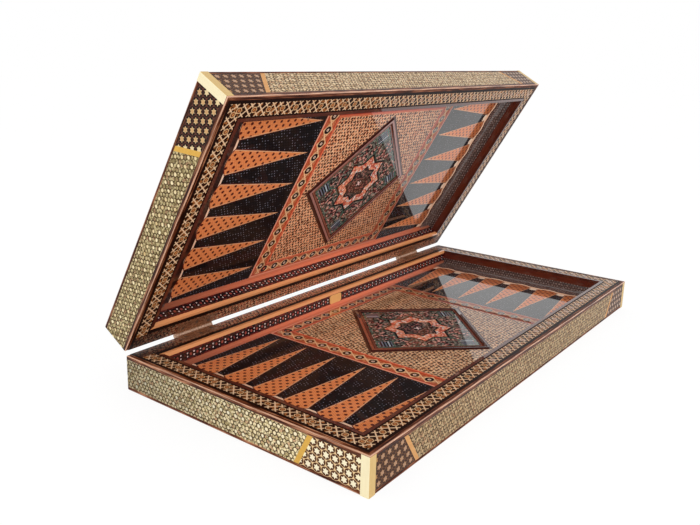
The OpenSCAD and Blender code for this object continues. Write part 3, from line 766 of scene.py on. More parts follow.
@finish(0.4, 0.0, point_wood=())
def points(f):
    """Points: orange wood with fine flecks, staggered red dots and a light line at the edges."""
    f.worn_lacquer(0.4, 0.75)
    grain = f.cloud(30.0, 1.4, 3.0).ramp(2.0, -0.5)
    fleck_x, fleck_y = lattice(f.u, f.v, 1.9)
    from_tip = abs(f.u) - POINT_TIP_X
    x, y = lattice(from_tip, f.v - MID_Y, size("dot_pitch"), size("dot_pitch"))
    side = from_tip * POINT_SLOPE - abs(f.off_point())
    return f.stack(
        "point",
        (grain * 0.5, "#CC6230"),
        (fleck_x.beyond(fleck_y).under(0.5, 0.3) * 0.5, "#FFB274"),
        (x.beyond(y).under(size("dot_size")), "red"),
        (side.under(0.75), "#EBB184"),
        # darker towards the right ends of the points
        (f.u.over(STAIN_X, 10.0) * 0.4, "#4A1606"),
    )


@finish(0.4, 0.0, night_khatam=())
def night(f):
    """Dark ground between the points, with small grey-blue stars and peach ends at the right."""
    f.worn_lacquer(0.3)
    pitch = size("ground_pitch")
    x, y = lattice(f.u, f.v, pitch)
    pick, other, _ = f.chips(pitch)
    off = f.off_point() / POINT_PITCH
    return f.stack(
        "night",
        (hexagram(x, y).between(0.3, 0.68), f.mix(pick.over(0.5), "#1C1A22", "#261A18")),
        (x.beyond(y).under(0.42) * other.over(0.62), "#9290A0"),
        ((f.u - NIGHT_END + off * off * 12.0).over(0.0), "peach"),
    )


@finish(
    0.4, 0.0,
    base_field_khatam=("#F0B688", "#C4844E", "#F8DCB4"),
    lid_field_khatam=("#FCB080", "#DC7C4C", "#FFD6AC"),
)
def net_khatam(f, light, deep, chip):
    """Centre field: light net round dark chips, with a dark line round the frame."""
    f.thin_lacquer(0.75)
    pitch = size("field_pitch")
    x, y = lattice(*f.shaken(3.5, 5.0), pitch)
    tone = f.cloud(16.0, 16.0, 3.0).ramp(2.4, -0.7)
    pick, other, near = f.chips(1.7)
    net = (hexagon(x, y) + other * 1.3).over(pitch / 2 - 0.15, 0.3)
    outwards = (abs(f.u) + abs(f.v) - FRAME_R) / ROOT_2
    return f.stack(
        f.mix(pick, "#6E2A12", "#340C02"),
        (near.over(0.5, 0.2) * 0.5, "#220601"),
        (net, f.mix(near.under(0.36, 0.1), f.mix(tone, light, deep), chip)),
        (hexagram(x, y).under(0.55), "#3A1008"),
        # the field darkens towards the right end
        (f.u.ramp(0.003), "#4A2010"),
        (outwards.under(2.6, 0.5), "#4C2014"),
    )


@finish(0.4, 0.0, eye_border_khatam=())
def eye_border(f):
    """Border of the centre panel: light chain round the eyes, between red and pink lines."""
    f.thin_lacquer(0.7)
    across_x, across_y = abs(f.u), abs(f.v)
    side = across_x.over(EYE_X)
    run = choose(side, f.v.wrap(COLUMN_STEP) / COLUMN_STEP, f.u.wrap(ROW_STEP) / ROW_STEP)
    off = abs(choose(side, across_x - COLUMN_X, across_y - ROW_Y))
    closeness = 1.0 - abs(run) * 2.0
    chain = abs(off - closeness * 5.6)
    hub = (run * EYE_PITCH).beyond(off)
    from_out = (PANEL_X - across_x).least(PANEL_Y - across_y)
    from_in = (across_x - EYE_X).most(across_y - EYE_Y)
    pick, _, near = f.chips(2.0)
    return f.stack(
        f.mix(pick, "pink", "#DC8656"),
        (near.over(0.5, 0.2) * 0.6, "#983A1E"),
        ((off + closeness * 3.0).over(5.6) * 0.6, "#C2452C"),
        (chain.under(0.7), "#F8CA98"),
        (hub.under(4.9), "#F4BE8A"),
        (hub.under(1.6), "#F0D4BC"),
        (hub.under(0.6), "#8A3A30"),
        (from_out.under(3.0), "#C2402A"),
        (from_out.under(1.9), "#F2A080"),
        (from_in.under(3.2), "#B83A24"),
        (from_in.under(2.2), "#E4704C"),
        # the border darkens towards the right end
        (f.u.ramp(0.004), "#3E140C"),
    )


@finish(0.35, "lacquer", eye_ring_khatam=())
def eye_ring(f):
    """Dark rings of the border."""
    return f.mix(f.cloud(1.5, 1.5), "#160504", "#2C0E0A")


@finish(0.35, "lacquer", medallion_ground_khatam=())
def medallion_ground(f):
    """Ground of the medallion: rosy and green chips, black contours, and the dark middle star."""
    x, y = abs(f.u), abs(f.v)
    square = x.most(y)
    turned = (x + y) / ROOT_2
    star = square.least(turned) - STAR_R / ROOT_2
    heart = square.least(turned) - HEART_R / ROOT_2
    pick, other, near = f.chips(2.6)
    zone = f.noise(x / 7.0, y / 7.0, 1.0)
    rosy = f.mix(pick.over(0.5, 0.05), "#8E4440", "#EBAA9A")
    green = f.mix(pick.over(0.5, 0.05), "#4A4C42", "#8A8476")
    flower = (x - 25.0).beyond(y - 17.0).least((x - 17.0).beyond(y - 25.0))
    tile_r = TILE_W / ROOT_2
    tile_x = TILE_OUT - tile_r
    tile = (abs(x - tile_x) + y).least(x + abs(y - tile_x)) / ROOT_2 - TILE_W / 2
    axis = x.least(y).under(0.7) * square.between(STAR_R, tile_x - tile_r)
    edge = turned - GROUND_R / ROOT_2
    contour = star.between(1.6, 2.3).most(tile.between(0.8, 1.7)).most(axis)
    petal = abs(x - y).under(1.0, 0.4) * (x + y).under(5.2)
    core = f.stack(
        "#2A0E10",
        (near.under(0.4) * other.over(0.3, 0.05), f.mix(pick, "#4A5A48", "#B0605A")),
        (petal.most(x.beyond(y).under(1.4)), "#F0CFC8"),
        (heart.over(-1.0), "#0B0708"),
    )
    return f.stack(
        "#140A0A",
        (near.under(0.45, 0.2), f.mix(zone.over(0.52, 0.06), green, rosy)),
        (flower.under(3.2, 0.6) * other.over(0.3), "#D9A096"),
        (contour.most(edge.between(-2.0, -1.2)), "teal"),
        (star.between(-0.6, 1.4), "#0B0808"),
        (heart.under(0.0), core),
    )


@finish(0.35, "lacquer", medallion_coral_khatam=())
def medallion_coral(f):
    """Coral star band of the medallion: pink, orange and white chips inside a black outline."""
    x, y = abs(f.u), abs(f.v)
    reach = x.most(y).least((x + y) / ROOT_2)
    pick, other, near = f.chips(2.2)
    outline = reach.over(STAR_R / ROOT_2 - 0.9).most(reach.under(HEART_R / ROOT_2 + 0.8))
    return f.stack(
        f.mix(pick, "coral", "#FFC29E"),
        (other.over(0.72, 0.02), "#DC5A40"),
        (other.under(0.2, 0.02), "#FFF0E6"),
        (near.over(0.5, 0.2) * 0.6, "#8A2C20"),
        (outline, "#120A0A"),
    )


@finish(0.35, "lacquer", medallion_tile_khatam=())
def medallion_tile(f):
    """Corner tiles: pale blue-grey stripes on a navy ground."""
    slant = choose(abs(f.u).over(TILE_W * 2), f.u - f.v, f.u + f.v) / ROOT_2
    return f.stack(
        "#14161F",
        (abs(slant.wrap(3.0)).under(0.6), "#6E7888"),
        (abs(slant.wrap(12.0)).under(0.7), "#B9C4CC"),
    )


@finish(0.42, 0.0, hinge_brass=("brass", "#4A2C1E", 1.8))
@finish(0.4, 0.0, pin_brass=("#E0BCA2", "#7A5644", 1.8))
@finish(0.38, 0.0, screw_steel=("steel", "#54443A"))
def metal(f, colour, dirt, grain=4.0):
    """Dull old metal with spots of dirt."""
    roughness = f.inputs["Roughness"]
    tone = f.cloud(grain, grain, 4.0).ramp(3.2, -1.1)
    feed(f.inputs["Metallic"], 0.75)
    feed(roughness, tone.math("MULTIPLY_ADD", 0.2, roughness.default_value))
    f.bump(f.cloud(12.0, 0.2), 0.01)
    return f.mix(tone * 0.7, colour, dirt)


@finish(
    0.35, "lacquer",
    base_star_inlay=("#FFF9DC", "#FFEFC4"),
    lid_star_inlay=("#E0B272", "#B28048"),
    # a darker copy of the stars for the front panels, as painted shade
    front_star_inlay=("#B8865A", "#946238"),
    ring_bone_inlay=("#E8C08E", "#C89464"),
    ring_brown_inlay=("#74301A", "#561E0E"),
    ring_amber_inlay=("#DD9856", "#BE7638"),
    dot_inlay=("red", "#5A140E"),
    wall_dot_inlay=("#FFF2EA", "#E4B4B0"),
)
def plain_inlay(f, colour, dark):
    """Small cut pieces of one colour."""
    return f.mix(f.cloud(5.0, 5.0), colour, dark)


# Laying the pattern map on a half


def flat_lay(co, centre, normal):
    """Place on the face's own plane, seen from outside."""
    if abs(normal.z) > STEEP:
        return co.x, co.y
    if abs(normal.y) > abs(normal.x):
        return (co.x if normal.y < 0 else -co.x), co.z
    return (co.y if normal.x > 0 else -co.y), co.z


def ring_lay(co, centre, normal):
    """Place along and across the nearest side of the rim, from the middle of its khatam band."""
    if centre.y > HINGE_BAND_Y:
        return co.x, co.y
    if CASE_X - abs(centre.x) < centre.y + BACK_Y:
        along = (co.y - SIDE_RING_Y) * RING_PITCH / SIDE_RING_PITCH
        return along, CASE_X - abs(co.x) - BAND_MID
    return co.x, co.y + BACK_Y - BAND_MID


def wall_lay(co, centre, normal):
    """Place on an outer wall: the distance from the nearest corner, and the height."""
    if abs(normal.y) > abs(normal.x):
        return CASE_X - abs(co.x) + FRONT_SHIFT, co.z
    return co.y + BACK_Y, co.z


def rail_lay(co, centre, normal):
    """Place along a wall and across it, so that the grain runs lengthwise."""
    if BACK_Y - abs(centre.y) < CASE_X - abs(centre.x):
        return co.x, (co.y if abs(normal.z) > STEEP else co.z)
    return co.y + 3 * CASE_X, (co.x if abs(normal.z) > STEEP else co.z)


def panel_lay(co, centre, normal):
    """Place from the middle of the centre panel."""
    return co.x, co.y - MID_Y


def upright_lay(co, centre, normal):
    """Place round a post, with the height last."""
    return co.x + co.y, co.z


# Choosing the finish of each face of a half


def pick_rail(half, centre, normal):
    """Painted highlight on the rounded arrises, and painted shade on the front rail as a darker copy
    of the carcass wood.
    """
    across = CASE_X - abs(centre.x)
    outside = min(across, BACK_Y - abs(centre.y)) < ARRIS_REACH
    if outside and ARRIS_TILT[0] < abs(normal.z) < ARRIS_TILT[1]:
        return "worn_arris_wood"
    if centre.y < 0 and centre.y + BACK_Y < across:
        return "front_carcass_wood"
    return "carcass_wood" if half == "base" else "lid_carcass_wood"


def pick_wall(half, centre, normal):
    # front faces take these copies, darker on the base as painted shade and lighter on the lid as
    # painted light
    return f"{half}_front_khatam" if abs(normal.y) > STEEP else f"{half}_side_khatam"


def pick_stars(half, centre, normal):
    # front panels take a darker copy as painted shade
    return "front_star_khatam" if abs(normal.y) > STEEP else f"{half}_star_khatam"


def pick_slant(half, centre, normal):
    # front faces take a darker copy as painted shade
    return "front_yellow_wood" if normal.y < -STEEP else "yellow_wood"


def pick_post(half, centre, normal):
    # front faces take the darker copy of the bone as painted shade
    return "front_bone" if normal.y < -STEEP else "bone"


def pick_rim_band(half, centre, normal):
    return "rim_hinge_khatam" if centre.y > HINGE_BAND_Y else "rim_ring_khatam"


def pick_bead(half, centre, normal):
    at_hinge = centre.y > 0 and BACK_Y - centre.y < CASE_X - abs(centre.x)
    return "orange_bead_wood" if at_hinge else "bead_wood"


def pick_line(half, centre, normal):
    if centre.z > FLOOR_Z + 1:
        return "ebony_stringing"
    return "wavy_line_wood" if abs(centre.x) > WAVE_X else "point_line_wood"


def pick_leaf(half, centre, normal):
    at_axis = math.hypot(centre.y - AXIS.y, centre.z - AXIS.z) < KNUCKLE_R
    return "pin_brass" if at_axis else "hinge_brass"


def pick_inner_khatam(half, centre, normal):
    at_hinge = centre.y > INNER_Y - 0.1 and abs(normal.z) < STEEP
    return "hinge_wall_khatam" if at_hinge else "slate_khatam"


def pick_strip(half, centre, normal):
    return "orange_wood" if centre.y > FIELD_TOP_Y else "peach_wood"


def pick_star_piece(half, centre, normal):
    at_tile = math.hypot(centre.x, centre.y - MID_Y) > STAR_R + 4
    return "medallion_tile_khatam" if at_tile else "medallion_coral_khatam"


# Making pieces


def keep(piece, body, slot, *nodes):
    """Hangs a finished piece on the empty of its body and hides the CAD nodes that it stands for; the
    slot is not used.
    """
    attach(piece, body)
    if nodes:
        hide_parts(*nodes)


def put(name, work, names=()):
    """Makes an object at the origin from finished faces, with its finishes by their names."""
    mesh = bpy.data.meshes.new(name)
    work.to_mesh(mesh)
    work.free()
    for each in names:
        mesh.materials.append(finished(each))
    piece = bpy.data.objects.new(name, mesh)
    bpy.context.scene.collection.objects.link(piece)
    return piece


def half_copy(node, half):
    """A merged copy of a CAD node, in millimetres of the closed half, with its faces outwards."""
    work = bmesh.new()
    work.from_mesh(frame["nodes"][node].data)
    work.transform(TO_WORLD[half].inverted())
    if half == "lid":
        bmesh.ops.reverse_faces(work, faces=work.faces)
    bmesh.ops.remove_doubles(work, verts=work.verts, dist=WELD)
    bmesh.ops.dissolve_limit(work, angle_limit=FLAT_ANGLE, verts=work.verts, edges=work.edges)
    return work


def to_world(work, half):
    """Moves faces from the closed half's millimetres to their place on the half."""
    work.transform(TO_WORLD[half])
    if half == "lid":
        bmesh.ops.reverse_faces(work, faces=work.faces)


def outer_arris(a, b):
    """Whether an edge runs where the outer faces meet the rim or the outer panel's side."""
    return abs(a.z - b.z) < TOUCH and all(
        (abs(abs(c.x) - CASE_X) < TOUCH or abs(abs(c.y) - BACK_Y) < TOUCH)
        and (abs(c.z - RIM_Z) < TOUCH or abs(c.z) < TOUCH)
        for c in (a, b)
    )


def post_arris(a, b):
    """Whether an edge is the upright arris of a post."""
    return all(abs(abs(c.x) - CASE_X) < TOUCH and abs(c.y + BACK_Y) < TOUCH for c in (a, b))


def dress_node(node, half, slot, pick, lay, cuts, rounded):
    """Makes the finished piece that stands for a CAD node.

    Its faces are cut so that each side can have its own lay and finish, the edges that the
    rounded test accepts are rounded, and pick is a finish or the function that chooses it."""
    work = half_copy(node, half)
    for place, normal in cuts:
        everything = [*work.verts, *work.edges, *work.faces]
        bmesh.ops.bisect_plane(work, geom=everything, plane_co=place, plane_no=normal, dist=0.001)
    work.normal_update()
    if rounded:
        edges = [e for e in work.edges if rounded(*[v.co for v in e.verts])]
        bmesh.ops.bevel(
            work, geom=edges, offset=size("arris"), segments=2, profile=0.5, affect="EDGES"
        )
        work.normal_update()
    places = work.loops.layers.uv.new(LAY)
    names = []
    for face in work.faces:
        centre = face.calc_center_median()
        for corner in face.loops:
            corner[places].uv = lay(corner.vert.co, centre, face.normal)
        name = pick if isinstance(pick, str) else pick(half, centre, face.normal)
        if name not in names:
            names.append(name)
        face.material_index = names.index(name)
    to_world(work, half)
    piece = put(f"{node}_piece", work, names)
    for face in piece.data.polygons:
        face.use_smooth = True
    piece.data.set_sharp_from_angle(angle=SHARP_ANGLE)
    keep(piece, half, slot, node)


def dress(node, slot, pick, lay=flat_lay, cuts=(), rounded=None, halves=HALVES):
    """Dresses a CAD node of each half. Braces in a name stand for the half."""
    for half in halves:
        chosen = pick.format(half) if isinstance(pick, str) else pick
        dress_node(node.format(half), half, slot, chosen, lay, cuts, rounded)


# Repeated inlay


def inlay_tree():
    """Geometry nodes that repeat a motif on a staggered lattice over a flat outline."""
    tree = bpy.data.node_groups.new("staggered_inlay", "GeometryNodeTree")
    inputs = {
        "Outline": "Geometry", "Motif": "Object", "Pitch": "Float", "Row Pitch": "Float",
        "Start U": "Float", "Start V": "Float", "Margin": "Float", "Spread": "Float",
        "Seed": "Int", "Material": "Material",
    }
    for name, kind in inputs.items():
        tree.interface.new_socket(name, in_out="INPUT", socket_type=f"NodeSocket{kind}")
    tree.interface.new_socket("Inlay", in_out="OUTPUT", socket_type="NodeSocketGeometry")

    def node(kind, values=None, **properties):
        return add(tree, kind, values, **properties).outputs

    given = node("NodeGroupInput")
    outline = given["Outline"]
    box = node("GeometryNodeBoundBox", {0: outline})
    low, high = [node("ShaderNodeSeparateXYZ", {0: box[k]}) for k in (1, 2)]
    ways = []
    for k, names in enumerate((("Pitch", "Start U"), ("Row Pitch", "Start V"))):
        pitch, start = [Term(given[name]) for name in names]
        near, far = Term(low[k]), Term(high[k])
        steps = ((far - near) / pitch / 2).math("FLOOR") * 2 + 5
        middle = (((near + far) / 2 - start) / pitch).math("ROUND") * pitch + start
        ways.append((pitch, steps, middle))
    (pitch_u, steps_u, middle_u), (pitch_v, steps_v, middle_v) = ways
    span_u, span_v = (steps_u - 1) * pitch_u, (steps_v - 1) * pitch_v
    grid = node("GeometryNodeMeshGrid", {0: span_u, 1: span_v, 2: steps_u, 3: steps_v})
    both = add(tree, "GeometryNodeJoinGeometry")
    for shift in (0.0, 0.5):
        values = {0: middle_u + pitch_u * shift, 1: middle_v + pitch_v * shift}
        place = node("ShaderNodeCombineXYZ", values)[0]
        moved = node("GeometryNodeTransform", {0: grid[0], "Translation": place})
        feed(both.inputs[0], moved[0])
    points = node("GeometryNodeMeshToPoints", {0: both.outputs[0]})

    here = node("GeometryNodeInputPosition")[0]
    above = node("ShaderNodeVectorMath", {0: here, 1: (0, 0, 1)}, operation="ADD")[0]
    values = {"Target Geometry": outline, "Source Position": above}
    ray = node("GeometryNodeRaycast", {**values, "Ray Direction": (0, 0, -1), "Ray Length": 2})
    lone = Term(node("GeometryNodeInputMeshEdgeNeighbors")[0]).math("LESS_THAN", 1.5)
    rim = node("GeometryNodeSeparateGeometry", {0: outline, 1: lone}, domain="EDGE")
    gap = Term(node("GeometryNodeProximity", {0: rim[0]}, target_element="EDGES")["Distance"])
    inside = gap.math("GREATER_THAN", Term(given["Margin"])) * Term(ray["Is Hit"])
    kept = node("GeometryNodeSeparateGeometry", {0: points[0], 1: inside}, domain="POINT")

    motif = node("GeometryNodeObjectInfo", {0: given["Motif"]})["Geometry"]
    amount = Term(given["Spread"])
    values = {2: 1.0 - amount, 3: amount + 1.0, "Seed": given["Seed"]}
    each = node("FunctionNodeRandomValue", values, data_type="FLOAT")[1]
    scale = node("ShaderNodeCombineXYZ", {0: each, 1: each, 2: 1.0})[0]
    values = {"Points": kept[0], "Instance": motif, "Scale": scale}
    placed = node("GeometryNodeInstanceOnPoints", values)
    real = node("GeometryNodeRealizeInstances", {0: placed[0]})
    painted = node("GeometryNodeSetMaterial", {0: real[0], "Material": given["Material"]})
    node("NodeGroupOutput", {0: painted[0]})
    return tree


def rows(start_u, start_v, pitch, row, margin, spread=0.0):
    """Inputs of the inlay tree for a lattice with one motif at the start."""
    return {
        "Start U": start_u, "Start V": start_v, "Pitch": pitch, "Row Pitch": row,
        "Margin": margin, "Spread": spread,
    }


def rectangle(u0, v0, u1, v1):
    """Flat drawing of a rectangle."""
    work = bmesh.new()
    corners = ((u0, v0), (u1, v0), (u1, v1), (u0, v1))
    work.faces.new([work.verts.new((u, v, 0)) for u, v in corners])
    return work


def top_outline(part, plane, side=0):
    """Flat drawing of the faces of a base node that lie in a plane, on both sides or one."""
    work = half_copy(f"base_{part}", "base")
    work.transform(PLANES[plane].inverted())
    work.normal_update()
    lost = [
        f
        for f in work.faces
        if f.normal.z < FACING
        or max(abs(v.co.z) for v in f.verts) > IN_PLANE
        or (side and f.calc_center_median().x * side <= 0)
    ]
    bmesh.ops.delete(work, geom=lost, context="FACES")
    return work


def motif(radii, sides, high, turn=0.0):
    """Closed flat motif from just under its ground to its height.

    Its corners take the radii in rotation, and it is turned by a share of its step."""
    work = bmesh.new()
    corners = []
    for k in range(sides):
        radius, angle = radii[k % len(radii)], 2 * math.pi * (k + turn) / sides
        corners.append((radius * math.cos(angle), radius * math.sin(angle)))
    low, top = [[work.verts.new((x, y, z)) for x, y in corners] for z in (MOTIF_ROOT, high)]
    work.faces.new(low[::-1])
    work.faces.new(top)
    for k in range(sides):
        after = (k + 1) % sides
        work.faces.new((low[k], low[after], top[after], top[k]))
    return put("motif", work)


def star_motif(tip):
    """Star of two triangles, with a tip upwards."""
    return motif((tip, tip / ROOT_3), 12, size("proud"), 3)


def repeat(tree, outline, stamp, name, numbers):
    """Mesh of one motif repeated over a flat outline."""
    ground = put("outline", outline.copy())
    change = ground.modifiers.new("inlay", "NODES")
    change.node_group = tree
    sockets = {s.name: s.identifier for s in tree.interface.items_tree if s.in_out == "INPUT"}
    for key, value in {"Motif": stamp, "Material": finished(name), **numbers}.items():
        change[sockets[key]] = value
    bpy.context.view_layer.update()
    seen = ground.evaluated_get(bpy.context.evaluated_depsgraph_get())
    made = bpy.data.meshes.new_from_object(seen)
    bpy.data.objects.remove(ground)
    return made


def inlay(part, slot, groups, halves=HALVES):
    """Pieces of repeated inlay on both halves: stacked motifs over one or more outlines.

    groups holds (layers, grounds) pairs, where layers holds (motif, finish) pairs, and grounds
    (plane, outline, numbers) triples."""
    tree = inlay_tree()
    flat, names = [], []
    for layers, grounds in groups:
        for plane, outline, numbers in grounds:
            for stamp, name in layers:
                numbers["Seed"] = settings().sizes.seed
                made = repeat(tree, outline, stamp, name, numbers)
                made.transform(PLANES[plane])
                flat.append((made, name))
                if name not in names:
                    names.append(name)
            outline.free()
    for half in halves:
        work = bmesh.new()
        for made, name in flat:
            before = len(work.faces)
            work.from_mesh(made)
            work.faces.ensure_lookup_table()
            for face in work.faces[before:]:
                face.material_index = names.index(name)
        lay = work.loops.layers.uv.verify()
        for face in work.faces:
            for corner in face.loops:
                co = corner.vert.co
                corner[lay].uv = (co.x, co.y if face.normal.z > STEEP else co.z)
        to_world(work, half)
        piece = put(f"{half}_{part}", work, names)
        piece.data.uv_layers[0].name = LAY
        keep(piece, half, slot)
    for made, _ in flat:
        bpy.data.meshes.remove(made)
    for layers, _ in groups:
        for stamp, _ in layers:
            bpy.data.objects.remove(stamp)


# Operators

STEPS = []


def step(kind):
    """Puts an operator in the list of steps, in the order of the file."""
    STEPS.append(kind)
    return kind


@step
class CASE_OT_rails(bpy.types.Operator):
    """Mitred rails of both halves, with their outer arrises rounded"""

    bl_idname = "case.rails"
    bl_label = "Rails"

    def execute(self, context):
        for side in ("front", "back", "left", "right"):
            dress("{}_" + side + "_rail", "case_wood", pick_rail, rail_lay, rounded=outer_arris)
        return {"FINISHED"}


@step
class CASE_OT_outer_boards(bpy.types.Operator):
    """Core boards, outer panels and their dark squares"""

    bl_idname = "case.outer_boards"
    bl_label = "Outer boards"

    def execute(self, context):
        dress("{}_floor_board", "core_board", "core_wood")
        dress("{}_outer_panel", "light_squares", "maple_wood")
        dress("{}_dark_squares", "dark_squares", "walnut_wood")
        return {"FINISHED"}


@step
class CASE_OT_rim(bpy.types.Operator):
    """Khatam band, bead and stringing of the rim"""

    bl_idname = "case.rim"
    bl_label = "Rim"

    def execute(self, context):
        band_cuts = [*MITRES[:2], HINGE_BAND_CUT]
        dress("{}_rim_khatam", "ring_khatam", pick_rim_band, ring_lay, band_cuts)
        dress("{}_rim_bead", "bead_wood", pick_bead, rail_lay, MITRES)
        dress("{}_ebony_lines", "ebony", pick_line)
        return {"FINISHED"}


@step
class CASE_OT_rim_rings(bpy.types.Operator):
    """Bone rings of the rim's khatam band, as thin inlay"""

    bl_idname = "case.rim_rings"
    bl_label = "Rim rings"

    def execute(self, context):
        ring = size("ring_size")
        reach = BAND_W / 2
        x, y = CASE_X - BAND_MID, BAND_MID - BACK_Y
        front = rectangle(-x - reach, y - reach, x + reach, y + reach)
        sides = []
        for s in (-1, 1):
            strip = rectangle(s * x - reach, y + SIDE_ROW_START, s * x + reach, HINGE_BAND_Y)
            sides.append(("rim", strip, rows(s * x, SIDE_RING_Y, BAND_W, SIDE_RING_PITCH, ring)))
        groups = [
            (self.layers(0.0), [("rim", front, rows(0.0, y, RING_PITCH, BAND_W, ring))]),
            (self.layers(0.5), sides),
        ]
        inlay("rim_rings", "ring_khatam", groups)
        return {"FINISHED"}

    def layers(self, turn):
        """Six-sided ring with an amber heart, its corners along the band."""
        proud = size("proud")
        corner_r = size("ring_size") * 2 / ROOT_3
        hole_r = (size("ring_size") - RING_WIDTH) * 2 / ROOT_3
        return [
            (motif([corner_r], 6, proud, turn), "ring_bone_inlay"),
            (motif([hole_r], 6, 1.5 * proud, turn), "ring_brown_inlay"),
            (motif([RING_HEART_R], 10, 2 * proud), "ring_amber_inlay"),
            (motif([RING_CORE_R], 6, 2.5 * proud), "ring_brown_inlay"),
        ]


@step
class CASE_OT_outer_walls(bpy.types.Operator):
    """Fine khatam, star panels, slanting strips and bone posts of the outer walls"""

    bl_idname = "case.outer_walls"
    bl_label = "Outer walls"

    def execute(self, context):
        dress("{}_wall_khatam", "fine_khatam", pick_wall, wall_lay, [MIDDLE_CUT])
        dress("{}_star_panels", "star_khatam", pick_stars, wall_lay)
        dress("{}_slant_strips", "yellow_wood", pick_slant)
        dress("{}_corner_posts", "bone", pick_post, upright_lay, rounded=post_arris)
        return {"FINISHED"}


@step
class CASE_OT_star_inlay(bpy.types.Operator):
    """Bone stars of the corner panels, as thin inlay"""

    bl_idname = "case.star_inlay"
    bl_label = "Star inlay"

    def execute(self, context):
        star = size("star_size")
        margin = star * STAR_MARGIN
        lattice_of_wall = (STAR_ROW_Z, size("star_pitch"), size("star_row"), margin, STAR_SPREAD)
        ends = [
            ("left", 0, BACK_Y - STAR_START),
            ("right", 0, STAR_START - BACK_Y),
            ("front", -1, STAR_START - CASE_X - FRONT_SHIFT),
            ("front", 1, CASE_X - STAR_START + FRONT_SHIFT),
        ]
        for half, tip in (("base", 1.0), ("lid", SMALL_STAR)):
            grounds = [
                (wall, top_outline("star_panels", wall, side), rows(start, *lattice_of_wall))
                for wall, side, start in ends
            ]
            groups = [
                ([(star_motif(star * tip), f"{half}_star_inlay")], grounds[:2]),
                ([(star_motif(star * SMALL_STAR), "front_star_inlay")], grounds[2:]),
            ]
            inlay("star_inlay", "star_khatam", groups, halves=(half,))
        return {"FINISHED"}


@step
class CASE_OT_inner_walls(bpy.types.Operator):
    """Brown facings and dark khatam of the inner walls, and the blank plaque"""

    bl_idname = "case.inner_walls"
    bl_label = "Inner walls"

    def execute(self, context):
        dress("{}_inner_wood", "inner_wood", "inner_wall_wood", rail_lay)
        dress("{}_inner_khatam", "dark_khatam", pick_inner_khatam)
        dress("{}_plaque", "bone", "plaque_bone", halves=("base",))
        return {"FINISHED"}


@step
class CASE_OT_wall_dots(bpy.types.Operator):
    """Two rows of light dots on the hinge-side inner walls, as thin inlay"""

    bl_idname = "case.wall_dots"
    bl_label = "Wall dots"

    def execute(self, context):
        radius, pitch = size("wall_dot_size"), size("wall_dot_pitch")
        grounds = []
        for row in WALL_DOT_ROWS:
            strip = rectangle(-INNER_X, row - WALL_ROW_REACH, INNER_X, row + WALL_ROW_REACH)
            numbers = rows(WALL_DOT_START, row, pitch, CASE_X, radius, WALL_DOT_SPREAD)
            grounds.append(("hinge_wall", strip, numbers))
        layers = [(motif([radius], 8, size("proud")), "wall_dot_inlay")]
        inlay("wall_dots", "dark_khatam", [(layers, grounds)])
        return {"FINISHED"}


@step
class CASE_OT_points(bpy.types.Operator):
    """Points, the dark ground between them and the strips of orange wood"""

    bl_idname = "case.points"
    bl_label = "Points"

    def execute(self, context):
        dress("{}_points", "point_khatam", "point_wood")
        dress("{}_point_ground", "ground_khatam", "night_khatam")
        dress("{}_orange_strips", "orange_wood", pick_strip, cuts=[FIELD_TOP_CUT])
        return {"FINISHED"}


@step
class CASE_OT_point_dots(bpy.types.Operator):
    """Staggered red dots on the points, as thin inlay"""

    bl_idname = "case.point_dots"
    bl_label = "Point dots"

    def execute(self, context):
        radius, pitch = size("dot_size"), size("dot_pitch")
        grounds = []
        for s in (-1, 1):
            numbers = rows(s * POINT_TIP_X, MID_Y, pitch, pitch, radius + DOT_MARGIN, DOT_SPREAD)
            grounds.append(("floor", top_outline("points", "floor", s), numbers))
        layers = [(motif([radius], 8, size("proud")), "dot_inlay")]
        inlay("point_dots", "point_khatam", [(layers, grounds)])
        return {"FINISHED"}


@step
class CASE_OT_centre(bpy.types.Operator):
    """Centre field and its border of eyes"""

    bl_idname = "case.centre"
    bl_label = "Centre field"

    def execute(self, context):
        dress("{}_field", "field_khatam", "{}_field_khatam", panel_lay)
        dress("{}_eye_borders", "eye_border", "eye_border_khatam", panel_lay)
        dress("{}_eye_rings", "eye_ring", "eye_ring_khatam", panel_lay)
        return {"FINISHED"}


@step
class CASE_OT_medallion(bpy.types.Operator):
    """Stepped frame, ground, star and tiles of the medallion"""

    bl_idname = "case.medallion"
    bl_label = "Medallion"

    def execute(self, context):
        dress("{}_medallion_frame", "frame_wood", "{}_frame_wood", panel_lay)
        dress("{}_medallion_ground", "medallion_ground", "medallion_ground_khatam", panel_lay)
        dress("{}_medallion_star", "medallion_star", pick_star_piece, panel_lay)
        return {"FINISHED"}


@step
class CASE_OT_hinges(bpy.types.Operator):
    """Brass leaves and pins, and their screws"""

    bl_idname = "case.hinges"
    bl_label = "Hinges"

    def execute(self, context):
        for side in ("left", "right"):
            dress(side + "_hinge_{}_leaf", "hinge_brass", pick_leaf)
            dress(side + "_hinge_pin", "hinge_brass", "pin_brass", halves=("base",))
        dress("{}_hinge_screws", "screw_steel", "screw_steel")
        return {"FINISHED"}


